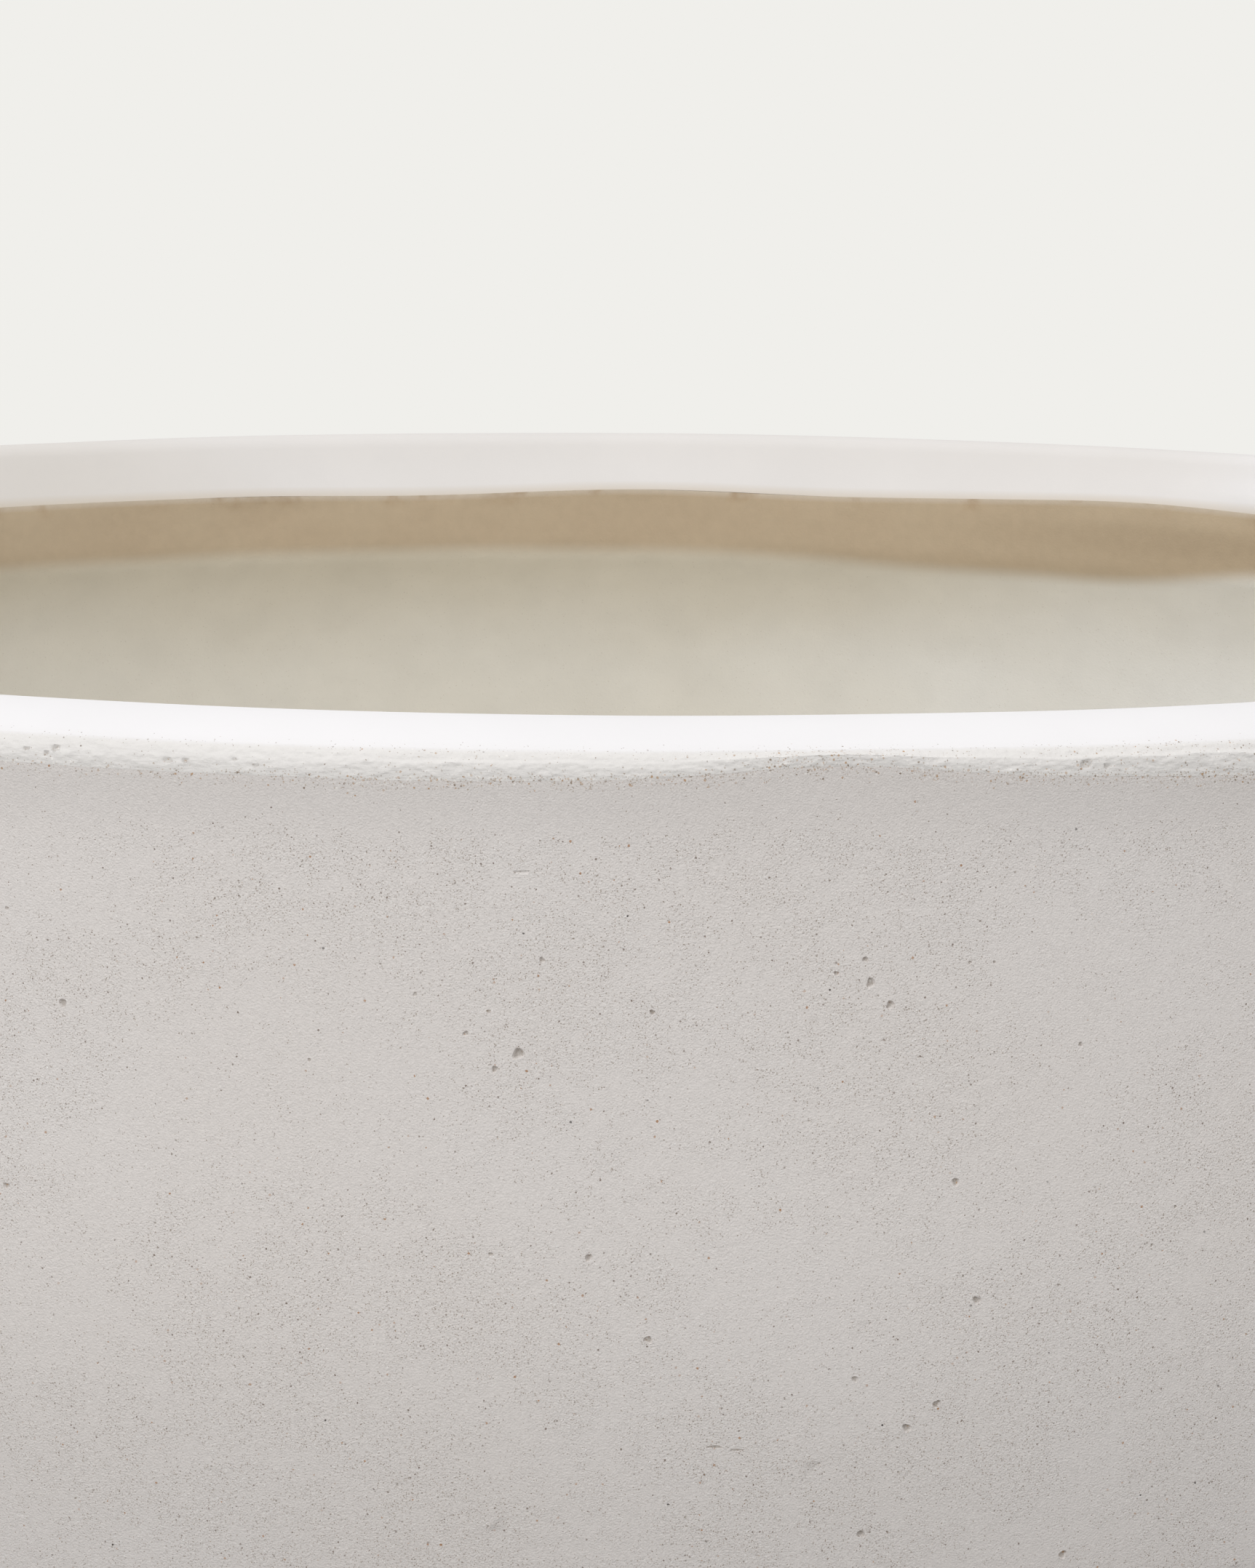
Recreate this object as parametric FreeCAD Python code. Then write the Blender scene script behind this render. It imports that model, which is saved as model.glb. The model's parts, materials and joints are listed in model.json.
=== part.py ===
"""Round floor planter in fibre-reinforced concrete, with a thick rolled rim and a plugged drain.

Millimetres, +Z up. The origin is on the floor under the middle of the planter. Every turned piece is a
section in the XZ plane, drawn as (radius, height) points and turned once about Z.
"""

import FreeCAD, Part
import math
import os

from FreeCAD import Vector

# Overall size of the bowl
RIM_DIAMETER = 640.0
HEIGHT = 440.0
BASE_DIAMETER = 420.0
HEEL_RADIUS = 42.0

# Rim cap: crowned outside the crest, sloped inside it, and a little proud of the wall
RIM_WIDTH = 32.0
CREST_INSET = 20.0
CROWN_RADIUS = 40.0
ARRIS_RADIUS = 5.5
CREST_RADIUS = 6.0
SLOPE_DROP = 16.1
RIM_PROUD = 1.0
COVE_HEIGHT = 17.0

# Layers of the shell, from the outside in
FACE_THICKNESS = 5.0
MAT_THICKNESS = 1.0
BACKING_THICKNESS = 12.0
FLOOR_BACKING_THICKNESS = 18.0

# Mortar ring that stiffens the lip, the straight wall left below it, and the wire hoop laid behind it
LIP_HEIGHT = 17.3
LIP_NOSE_RADIUS = 14.0
LIP_HAUNCH = 44.0
STRAIGHT_BELOW_LIP = 2.6
HOOP_DIAMETER = 6.0
HOOP_CLEARANCE = 0.2

# Drain sleeve cast into the floor, and the stopper that pulls out of it
DRAIN_BORE = 30.0
SLEEVE_WALL = 4.0
FLANGE_DIAMETER = 58.0
FLANGE_THICKNESS = 3.0
PLUG_CLEARANCE = 0.3
PLUG_STEM_LENGTH = 18.0
PLUG_STEM_TAPER = 1.5
PLUG_HEAD_DIAMETER = 46.0
PLUG_HEAD_HEIGHT = 5.0
PLUG_HEAD_ROUNDING = 2.0
TAB_WIDTH = 24.0
TAB_THICKNESS = 6.0
TAB_HEIGHT = 20.0
TAB_HOLE_DIAMETER = 11.0

# Rubber pads let into the underside
PAD_COUNT = 4
PAD_CIRCLE_DIAMETER = 280.0
PAD_DIAMETER = 50.0
PAD_HEIGHT = 8.0
PAD_SEAT_DEPTH = 2.0
PAD_CHAMFER = 1.5

# Places worked out from the sizes above
RIM_RADIUS = RIM_DIAMETER / 2
WALL_RADIUS = RIM_RADIUS - RIM_PROUD
LIP_RADIUS = RIM_RADIUS - RIM_WIDTH
CREST_R = RIM_RADIUS - CREST_INSET
UNDERSIDE_Z = PAD_HEIGHT - PAD_SEAT_DEPTH
SLOPE_END_Z = HEIGHT - SLOPE_DROP
LIP_BOTTOM_Z = SLOPE_END_Z - LIP_HEIGHT
HAUNCH_FOOT_Z = LIP_BOTTOM_Z - LIP_HAUNCH
STRAIGHT_Z = HAUNCH_FOOT_Z - STRAIGHT_BELOW_LIP
MAT_INSET = FACE_THICKNESS
BACKING_INSET = FACE_THICKNESS + MAT_THICKNESS
INNER_INSET = BACKING_INSET + BACKING_THICKNESS
INNER_RADIUS = WALL_RADIUS - INNER_INSET
FLOOR_Z = UNDERSIDE_Z + BACKING_INSET + FLOOR_BACKING_THICKNESS
SLEEVE_RADIUS = DRAIN_BORE / 2 + SLEEVE_WALL
TAPER_RUN = WALL_RADIUS - BASE_DIAMETER / 2
TAPER_FALL = STRAIGHT_Z - UNDERSIDE_Z
BELLY_RADIUS = (TAPER_RUN**2 + TAPER_FALL**2) / (2 * TAPER_RUN)

AXIS_START = Vector(0, 0, 0)
UP = Vector(0, 0, 1)
CUBIC_MM_PER_LITRE = 1e6


def at(radius, height):
    """A point of a turned section."""
    return Vector(radius, 0, height)


def line(start, end):
    """A straight edge of a section."""
    return Part.LineSegment(start, end).toShape()


def arc(start, centre, end):
    """The shorter circular edge about centre from start to end."""
    middle = (start - centre) + (end - centre)
    middle.normalize()
    return Part.Arc(start, centre + middle * (start - centre).Length, end).toShape()


def polyline(points):
    """Straight edges through the points in order."""
    return [line(a, b) for a, b in zip(points, points[1:])]


def turn(edges):
    """The solid that a closed section makes when it is turned about Z."""
    section = Part.Face(Part.Wire(Part.sortEdges(edges)[0]))
    solid = section.revolve(AXIS_START, UP, 360)
    if solid.Volume < 0:
        solid.reverse()
    return solid


def cylinder(radius, bottom, top, x=0.0, y=0.0):
    """An upright cylinder between two heights."""
    return Part.makeCylinder(radius, top - bottom, Vector(x, y, bottom), UP)


def bowl_points(inset, floor_z, heel_radius):
    """Tangent points and centres of the bowl's line, inset from the outer wall and ending on floor_z."""
    belly_centre = at(WALL_RADIUS - BELLY_RADIUS, STRAIGHT_Z)
    belly = BELLY_RADIUS - inset
    heel_z = floor_z + heel_radius
    reach = math.sqrt((belly - heel_radius) ** 2 - (STRAIGHT_Z - heel_z) ** 2)
    heel_centre = at(belly_centre.x + reach, heel_z)
    outward = heel_centre - belly_centre
    outward.normalize()
    return {
        "belly_centre": belly_centre,
        "heel_centre": heel_centre,
        "wall_top": at(WALL_RADIUS - inset, STRAIGHT_Z),
        "wall_foot": belly_centre + outward * belly,
        "floor_edge": at(heel_centre.x, floor_z),
    }


def bowl_line(inset, floor_z, heel_radius, top_z, hole_radius):
    """Edges of the bowl's line from the drain hole out and up to top_z, with its first and last points."""
    p = bowl_points(inset, floor_z, heel_radius)
    first = at(hole_radius, floor_z)
    last = at(WALL_RADIUS - inset, top_z)
    edges = [
        line(first, p["floor_edge"]),
        arc(p["floor_edge"], p["heel_centre"], p["wall_foot"]),
        arc(p["wall_foot"], p["belly_centre"], p["wall_top"]),
        line(p["wall_top"], last),
    ]
    return edges, first, last


def heel_inside(depth):
    """Radius of the heel that runs parallel to the outer one, that depth inside it."""
    return HEEL_RADIUS - depth


def arris_centre():
    """Centre of the small rounding between the crown and the wall, which ends upright at its height."""
    span = CREST_INSET - ARRIS_RADIUS
    rise = math.sqrt((CROWN_RADIUS - ARRIS_RADIUS) ** 2 - span**2)
    return at(CREST_R + span, HEIGHT - CROWN_RADIUS + rise)


def cap_seat():
    """Inner corner of the rebate that the rim cap fills: behind the face coat, on its top edge."""
    return at(WALL_RADIUS - FACE_THICKNESS, arris_centre().z)


def pad_places():
    """Centres of the foot pads, evenly round their circle and clear of the axes."""
    step = 2 * math.pi / PAD_COUNT
    radius = PAD_CIRCLE_DIAMETER / 2
    angles = [step * (n + 0.5) for n in range(PAD_COUNT)]
    return [(radius * math.cos(a), radius * math.sin(a)) for a in angles]


def rim_cap():
    """White mortar floated over the top edge: crowned outside, then a crest, a slope inwards and a bed."""
    small = arris_centre()
    crown_centre = at(CREST_R, HEIGHT - CROWN_RADIUS)
    outward = small - crown_centre
    outward.normalize()
    arris_top = crown_centre + outward * CROWN_RADIUS
    arris_foot = at(RIM_RADIUS, small.z)
    crest = at(CREST_R, HEIGHT)
    crest_centre = at(CREST_R, HEIGHT - CREST_RADIUS)
    edge = at(LIP_RADIUS, SLOPE_END_Z)
    to_edge = edge - crest_centre
    swing = math.acos(CREST_RADIUS / to_edge.Length)
    bearing = math.atan2(to_edge.z, to_edge.x) - swing
    slope_top = crest_centre + at(math.cos(bearing), math.sin(bearing)) * CREST_RADIUS
    seat = cap_seat()
    over = [
        arc(arris_foot, small, arris_top),
        arc(arris_top, crown_centre, crest),
        arc(crest, crest_centre, slope_top),
    ]
    return turn(over + polyline([slope_top, edge, at(seat.x, SLOPE_END_Z), seat, arris_foot]))


def face_coat():
    """Pale mortar that the mould shapes: the underside and the outer wall, coved under the rim cap."""
    p = bowl_points(0, UNDERSIDE_Z, HEEL_RADIUS)
    seat = cap_seat()
    cove_top = at(RIM_RADIUS, seat.z)
    cove_foot = at(WALL_RADIUS, seat.z - COVE_HEIGHT)
    cove_radius = (COVE_HEIGHT**2 + RIM_PROUD**2) / (2 * RIM_PROUD)
    outer = [
        line(at(SLEEVE_RADIUS, UNDERSIDE_Z), p["floor_edge"]),
        arc(p["floor_edge"], p["heel_centre"], p["wall_foot"]),
        arc(p["wall_foot"], p["belly_centre"], p["wall_top"]),
        line(p["wall_top"], cove_foot),
        arc(cove_foot, cove_foot + at(cove_radius, 0), cove_top),
    ]
    inner, inner_first, inner_last = bowl_line(
        MAT_INSET, UNDERSIDE_Z + MAT_INSET, heel_inside(MAT_INSET), seat.z, SLEEVE_RADIUS
    )
    closing = [
        line(cove_top, inner_last),
        line(inner_first, at(SLEEVE_RADIUS, UNDERSIDE_Z)),
    ]
    coat = turn(outer + inner + closing)
    seats = [
        cylinder(PAD_DIAMETER / 2, UNDERSIDE_Z - PAD_HEIGHT, UNDERSIDE_Z + PAD_SEAT_DEPTH, x, y)
        for x, y in pad_places()
    ]
    return coat.cut(Part.makeCompound(seats))


def layer(outer_inset, inner_inset, inner_floor_z, hole_radius):
    """A closed layer of the shell between two insets, open at the drain and ending under the cap's bed."""
    outer, outer_first, outer_last = bowl_line(
        outer_inset, UNDERSIDE_Z + outer_inset, heel_inside(outer_inset), SLOPE_END_Z, hole_radius
    )
    inner, inner_first, inner_last = bowl_line(
        inner_inset, inner_floor_z, heel_inside(inner_inset), SLOPE_END_Z, hole_radius
    )
    return turn(outer + inner + [line(outer_last, inner_last), line(outer_first, inner_first)])


def fibre_mat():
    """Glass-fibre mat pressed into the back of the face coat."""
    return layer(MAT_INSET, BACKING_INSET, UNDERSIDE_Z + BACKING_INSET, SLEEVE_RADIUS)


def backing_shell():
    """Fibre-reinforced mortar laid by hand inside the mat: the inner wall and the floor."""
    shell = layer(BACKING_INSET, INNER_INSET, FLOOR_Z, SLEEVE_RADIUS)
    flange_foot = FLOOR_Z - FLANGE_THICKNESS
    flange_seat = cylinder(FLANGE_DIAMETER / 2, flange_foot, FLOOR_Z + FLANGE_THICKNESS)
    return shell.cut(flange_seat)


def hoop_place():
    """Middle of the wire's section, against the inner wall and half way up the lip."""
    return at(INNER_RADIUS - HOOP_DIAMETER / 2 - HOOP_CLEARANCE, SLOPE_END_Z - LIP_HEIGHT / 2)


def lip_stiffener():
    """Mortar ring under the rim: an upright inner face, a rounded nose and a long cove down to the wall."""
    groove_half = HOOP_DIAMETER / 2 + HOOP_CLEARANCE
    hoop = hoop_place()
    run = INNER_RADIUS - LIP_RADIUS
    cove_radius = (LIP_HAUNCH**2 + run**2) / (2 * run)
    cove_foot = at(INNER_RADIUS, HAUNCH_FOOT_Z)
    cove_centre = cove_foot - at(cove_radius, 0)
    nose_x = LIP_RADIUS + LIP_NOSE_RADIUS
    nose_rise = math.sqrt((cove_radius + LIP_NOSE_RADIUS) ** 2 - (nose_x - cove_centre.x) ** 2)
    nose_centre = cove_centre + at(nose_x - cove_centre.x, nose_rise)
    nose_top = nose_centre - at(LIP_NOSE_RADIUS, 0)
    to_nose = nose_centre - cove_centre
    to_nose.normalize()
    nose_foot = cove_centre + to_nose * cove_radius
    groove_top = at(INNER_RADIUS, hoop.z + groove_half)
    groove_foot = at(INNER_RADIUS, hoop.z - groove_half)
    bend_top = at(hoop.x, hoop.z + groove_half)
    bend_foot = at(hoop.x, hoop.z - groove_half)
    bend_mid = at(hoop.x - groove_half, hoop.z)
    inner_top = at(LIP_RADIUS, SLOPE_END_Z)
    outer_top = at(INNER_RADIUS, SLOPE_END_Z)
    edges = polyline([nose_top, inner_top, outer_top, groove_top, bend_top])
    edges.append(Part.Arc(bend_top, bend_mid, bend_foot).toShape())
    edges += polyline([bend_foot, groove_foot, cove_foot])
    edges.append(arc(cove_foot, cove_centre, nose_foot))
    edges.append(arc(nose_foot, nose_centre, nose_top))
    print(f"lip: upright face from {nose_top.z:.3f} to {inner_top.z:.3f}")
    return turn(edges)


def rim_hoop():
    """Steel wire hoop that keeps the rim from cracking."""
    hoop = hoop_place()
    return Part.makeTorus(hoop.x, HOOP_DIAMETER / 2, Vector(0, 0, hoop.z), UP)


def drain_sleeve():
    """Plastic sleeve through the floor, with a flange let in flush."""
    bore = DRAIN_BORE / 2
    return turn(
        polyline(
            [
                at(bore, UNDERSIDE_Z),
                at(SLEEVE_RADIUS, UNDERSIDE_Z),
                at(SLEEVE_RADIUS, FLOOR_Z - FLANGE_THICKNESS),
                at(FLANGE_DIAMETER / 2, FLOOR_Z - FLANGE_THICKNESS),
                at(FLANGE_DIAMETER / 2, FLOOR_Z),
                at(bore, FLOOR_Z),
                at(bore, UNDERSIDE_Z),
            ]
        )
    )


def plug_tab():
    """Upright tab of the stopper, round at the top, with a finger hole."""
    foot = FLOOR_Z + PLUG_HEAD_HEIGHT
    half = TAB_WIDTH / 2
    eye_z = foot + TAB_HEIGHT - half
    side = TAB_THICKNESS / 2
    left, right = Vector(-half, -side, foot), Vector(half, -side, foot)
    left_top, right_top = Vector(-half, -side, eye_z), Vector(half, -side, eye_z)
    crown = Vector(0, -side, foot + TAB_HEIGHT)
    outline = Part.Wire(
        [
            line(left, right),
            line(right, right_top),
            Part.Arc(right_top, crown, left_top).toShape(),
            line(left_top, left),
        ]
    )
    tab = Part.Face(outline).extrude(Vector(0, TAB_THICKNESS, 0))
    eye_start = Vector(0, -side, eye_z)
    eye = Part.makeCylinder(TAB_HOLE_DIAMETER / 2, TAB_THICKNESS, eye_start, Vector(0, 1, 0))
    return tab.cut(eye)


def drain_plug():
    """Rubber stopper: a tapered stem, a head that seats on the flange and a pull tab."""
    stem_top = DRAIN_BORE / 2 - PLUG_CLEARANCE
    stem_foot = stem_top - PLUG_STEM_TAPER
    head = PLUG_HEAD_DIAMETER / 2
    head_top = FLOOR_Z + PLUG_HEAD_HEIGHT
    round_start = at(head, head_top - PLUG_HEAD_ROUNDING)
    round_centre = at(head - PLUG_HEAD_ROUNDING, head_top - PLUG_HEAD_ROUNDING)
    round_end = at(head - PLUG_HEAD_ROUNDING, head_top)
    edges = polyline(
        [
            round_end,
            at(0, head_top),
            at(0, FLOOR_Z - PLUG_STEM_LENGTH),
            at(stem_foot, FLOOR_Z - PLUG_STEM_LENGTH),
            at(stem_top, FLOOR_Z),
            at(head, FLOOR_Z),
            round_start,
        ]
    )
    edges.append(arc(round_start, round_centre, round_end))
    return turn(edges).fuse(plug_tab()).removeSplitter()


def foot_pad(x, y):
    """Rubber disc with a chamfered foot, seated in the underside and standing on the floor."""
    radius = PAD_DIAMETER / 2
    section = polyline(
        [
            at(0, 0),
            at(radius - PAD_CHAMFER, 0),
            at(radius, PAD_CHAMFER),
            at(radius, PAD_HEIGHT),
            at(0, PAD_HEIGHT),
            at(0, 0),
        ]
    )
    pad = turn(section)
    pad.translate(Vector(x, y, 0))
    return pad


def pieces():
    """Every piece of the planter by its node's name."""
    made = {
        "rim_cap": rim_cap(),
        "face_coat": face_coat(),
        "fibre_mat": fibre_mat(),
        "backing_shell": backing_shell(),
        "lip_stiffener": lip_stiffener(),
        "rim_hoop": rim_hoop(),
        "drain_sleeve": drain_sleeve(),
        "drain_plug": drain_plug(),
    }
    for number, (x, y) in enumerate(pad_places(), start=1):
        made[f"foot_pad_{number}"] = foot_pad(x, y)
    return made


os.makedirs("parts", exist_ok=True)
for name, shape in pieces().items():
    litres = shape.Volume / CUBIC_MM_PER_LITRE
    print(f"{name}: valid {shape.isValid()}, {len(shape.Solids)} solid, {litres:.4f} litres")
    shape.exportStep(f"parts/{name}.step")
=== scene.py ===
"""Dress a round cast planter: white rim, speckled wall, tan lip, hand-laid lining, drain and foot pads.

Metres, +Z up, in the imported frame. Turned pieces are sections of (radius, height) points spun about Z, then
given the waver, pits and relief of mortar that is finished by hand. A bearing is an angle in degrees from the
front (-Y) towards +X.
"""

import json
import logging
import math
import random
from dataclasses import dataclass
from enum import Enum

import bmesh
import bpy
from mathutils import Matrix, Vector, noise
from mathutils.kdtree import KDTree


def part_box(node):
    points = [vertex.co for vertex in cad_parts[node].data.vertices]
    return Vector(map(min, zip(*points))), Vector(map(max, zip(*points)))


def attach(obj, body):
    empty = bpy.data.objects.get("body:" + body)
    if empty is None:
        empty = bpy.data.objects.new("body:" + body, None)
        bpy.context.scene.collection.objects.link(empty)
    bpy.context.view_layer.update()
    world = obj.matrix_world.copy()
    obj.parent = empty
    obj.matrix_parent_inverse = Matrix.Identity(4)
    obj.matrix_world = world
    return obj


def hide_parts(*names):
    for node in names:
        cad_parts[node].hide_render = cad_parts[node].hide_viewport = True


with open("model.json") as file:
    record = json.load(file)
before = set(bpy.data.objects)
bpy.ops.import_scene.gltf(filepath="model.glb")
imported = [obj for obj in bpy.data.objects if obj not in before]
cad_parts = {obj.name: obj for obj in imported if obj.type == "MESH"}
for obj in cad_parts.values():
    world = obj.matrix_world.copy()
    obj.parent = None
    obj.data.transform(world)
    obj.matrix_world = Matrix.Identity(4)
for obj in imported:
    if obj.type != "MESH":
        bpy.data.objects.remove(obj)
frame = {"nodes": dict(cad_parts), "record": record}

LOG = logging.getLogger("planter")

Mesh = bmesh.types.BMesh
Vert = bmesh.types.BMVert
Face = bmesh.types.BMFace
Socket = bpy.types.NodeSocket
Material = bpy.types.Material
Piece = bpy.types.Object
Point = tuple[float, float]
Triple = tuple[float, float, float]
Colour = Triple
Value = float | Colour | Socket
Inputs = dict[str | int, Value]

UP = Vector((0.0, 0.0, 1.0))
ORIGIN = Vector((0.0, 0.0, 0.0))
MM = 0.001
MERGE_DISTANCE = 0.01 * MM
SECTORS = 20
SHARP_ANGLE = math.radians(38.0)
BEVEL_ANGLE = math.radians(50.0)
NOISE_MIDDLE = (0.5, 0.5, 0.5)
GRIT_SIZE = 0.22 * MM
GRIT_REACH = 0.34 * MM
WAVER_RADIUS = 0.3
FULL_TURN = 2.0 * math.pi
QUARTER_TURN = math.pi / 2.0


class Body(Enum):
    """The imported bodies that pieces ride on."""

    PLANTER = "planter"
    STOPPER = "stopper"


class Slot(Enum):
    """Names of the record's material slots."""

    RIM = "rim_mortar"
    FACE = "face_mortar"
    LINING = "backing_mortar"
    LIP = "lip_mortar"
    SLEEVE = "sleeve_plastic"
    PLUG = "plug_rubber"
    PAD = "pad_rubber"


def clamp(value: float) -> float:
    """Hold a value between 0 and 1."""
    return min(max(value, 0.0), 1.0)


def smooth(value: float, low: float, high: float) -> float:
    """Ease from 0 at low to 1 at high."""
    share = clamp((value - low) / (high - low))
    return share * share * (3.0 - 2.0 * share)


def bearing_of(co: Vector) -> float:
    """Bearing of a point in degrees, from the front towards +X."""
    return math.degrees(math.atan2(co.x, -co.y))


def outward(co: Vector) -> Vector:
    """Level direction from the planter's axis to a point."""
    return Vector((co.x, co.y, 0.0)).normalized()


def around(bearing: float, radius: float, height: float) -> Vector:
    """The point at a bearing, a radius and a height."""
    angle = math.radians(bearing)
    return Vector((radius * math.sin(angle), -radius * math.cos(angle), height))


def is_level(edge: bmesh.types.BMEdge) -> bool:
    """Whether an edge runs level round the planter."""
    return abs(edge.verts[0].co.z - edge.verts[1].co.z) < MERGE_DISTANCE


def arc_points(centre: Point, radius: float, start: float, end: float, pitch: float) -> list[Point]:
    """Points of a circular arc in a turned section.

    Args:
        centre: Radius and height of the arc's centre.
        radius: The arc's radius.
        start: Angle of the first point in radians, 0 outwards and a quarter turn up.
        end: Angle of the last point.
        pitch: Longest step between points.

    Returns:
        The arc's points, both ends included.
    """
    steps = max(1, math.ceil(abs(end - start) * radius / pitch))
    angles = [start + (end - start) * n / steps for n in range(steps + 1)]
    return [(centre[0] + radius * math.cos(a), centre[1] + radius * math.sin(a)) for a in angles]


def run_points(start: Point, end: Point, pitch: float) -> list[Point]:
    """Points of a straight run in a turned section.

    Args:
        start: Radius and height of the first point.
        end: Radius and height of the last point.
        pitch: Longest step between points.

    Returns:
        The run's points, both ends included.
    """
    steps = max(1, math.ceil(math.dist(start, end) / pitch))
    shares = [n / steps for n in range(steps + 1)]
    return [(start[0] + (end[0] - start[0]) * s, start[1] + (end[1] - start[1]) * s) for s in shares]


def joined(*stretches: list[Point]) -> list[Point]:
    """Join stretches of a section end to end, leaving out points that repeat.

    Args:
        stretches: Lists of points, in order round the section.

    Returns:
        One list, without its first point repeated at the end.
    """
    section: list[Point] = []
    for point in [p for stretch in stretches for p in stretch]:
        if not section or math.dist(point, section[-1]) > MERGE_DISTANCE:
            section.append(point)
    if math.dist(section[0], section[-1]) < MERGE_DISTANCE:
        section.pop()
    return section


def lathe(section: list[Point], steps: int, closed: bool = True) -> Mesh:
    """Turn a section about Z.

    Args:
        section: Radius and height of the section's points in order.
        steps: Faces round the whole turn, a multiple of SECTORS.
        closed: Whether the last point joins the first, rather than both lying on the axis.

    Returns:
        A closed mesh with its faces pointing outwards.
    """
    bm = bmesh.new()
    verts = [bm.verts.new((radius, 0.0, height)) for radius, height in section]
    ends = verts[1:] + verts[:1] if closed else verts[1:]
    edges = [bm.edges.new(pair) for pair in zip(verts, ends)]
    turn = {"axis": UP, "cent": ORIGIN}
    sector = FULL_TURN / SECTORS
    bmesh.ops.spin(bm, geom=verts + edges, angle=sector, steps=steps // SECTORS, **turn)
    whole = bm.verts[:] + bm.edges[:] + bm.faces[:]
    rest = FULL_TURN - sector
    bmesh.ops.spin(bm, geom=whole, angle=rest, steps=SECTORS - 1, use_duplicate=True, **turn)
    bmesh.ops.remove_doubles(bm, verts=bm.verts, dist=MERGE_DISTANCE)
    bmesh.ops.recalc_face_normals(bm, faces=bm.faces)
    bm.normal_update()
    return bm


def place(bm: Mesh, name: str, body: Body, material: Material, node: str) -> Piece:
    """Make a finished mesh an object of the planter and free its bmesh.

    Args:
        bm: The piece's mesh, in place.
        name: The object's name.
        body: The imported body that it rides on.
        material: Its surface.
        node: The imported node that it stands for.

    Returns:
        The new object.
    """
    mesh = bpy.data.meshes.new(name)
    bm.to_mesh(mesh)
    bm.free()
    mesh.shade_smooth()
    mesh.set_sharp_from_angle(angle=SHARP_ANGLE)
    mesh.materials.append(material)
    piece = bpy.data.objects.new(name, mesh)
    bpy.context.scene.collection.objects.link(piece)
    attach(piece, body.value)
    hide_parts(node)
    LOG.info("%s: %d faces, rides on %s", name, len(mesh.polygons), body.value)
    return piece


@dataclass(frozen=True)
class Bump:
    """One rise, or dip, of a line that is drawn by hand round the planter."""

    bearing: float
    rise: float
    width: float

    def rise_at(self, bearing: float) -> float:
        """How far this bump lifts the line at a bearing."""
        off = (bearing - self.bearing + 180.0) % 360.0 - 180.0
        return self.rise * math.exp(-((off / self.width) ** 2))


@dataclass(frozen=True)
class HandLine:
    """A level line finished by hand: a few bumps and a steady waver."""

    bumps: tuple[Bump, ...]
    waver: float
    pitch: float
    seed: float

    def rise(self, co: Vector) -> float:
        """How far the line strays from level at a point's bearing."""
        bearing = bearing_of(co)
        spot = outward(co) * (WAVER_RADIUS / self.pitch) + UP * self.seed
        return sum(b.rise_at(bearing) for b in self.bumps) + self.waver * noise.noise(spot)


@dataclass(frozen=True)
class Pit:
    """A hollow in the mortar, with its place on the surface and how far it is drawn out level."""

    bearing: float
    drop: float
    radius: float
    depth: float
    stretch: float = 1.0


FOOT_LINE = HandLine(
    bumps=(
        Bump(7.5, 2.3 * MM, 4.5),
        Bump(21.0, -1.0 * MM, 5.0),
        Bump(-17.0, -0.1 * MM, 4.0),
        Bump(-8.0, -0.5 * MM, 4.0),
    ),
    waver=0.5 * MM,
    pitch=0.05,
    seed=3.0,
)
SPARSE_GRAIN = Bump(-17.0, 0.55, 8.0)
SLOPE_EDGE = HandLine(
    bumps=(
        Bump(192.0, -0.8 * MM, 9.0),
        Bump(178.0, 1.1 * MM, 8.0),
        Bump(168.0, -0.4 * MM, 6.0),
        Bump(150.0, 2.0 * MM, 9.0),
    ),
    waver=0.4 * MM,
    pitch=0.06,
    seed=8.0,
)
LIP_FOOT = HandLine(
    bumps=(
        Bump(189.0, 0.9 * MM, 13.0),
        Bump(162.0, -2.6 * MM, 7.0),
        Bump(151.0, -3.2 * MM, 6.0),
        Bump(141.0, 1.4 * MM, 5.0),
    ),
    waver=0.7 * MM,
    pitch=0.05,
    seed=15.0,
)


@dataclass(frozen=True)
class Patches:
    """Soft noise and the values that it is eased between, from its low level to its high one."""

    size: float
    seed: float
    detail: float
    low: float
    high: float
    start: float = 0.0
    end: float = 1.0


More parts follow.
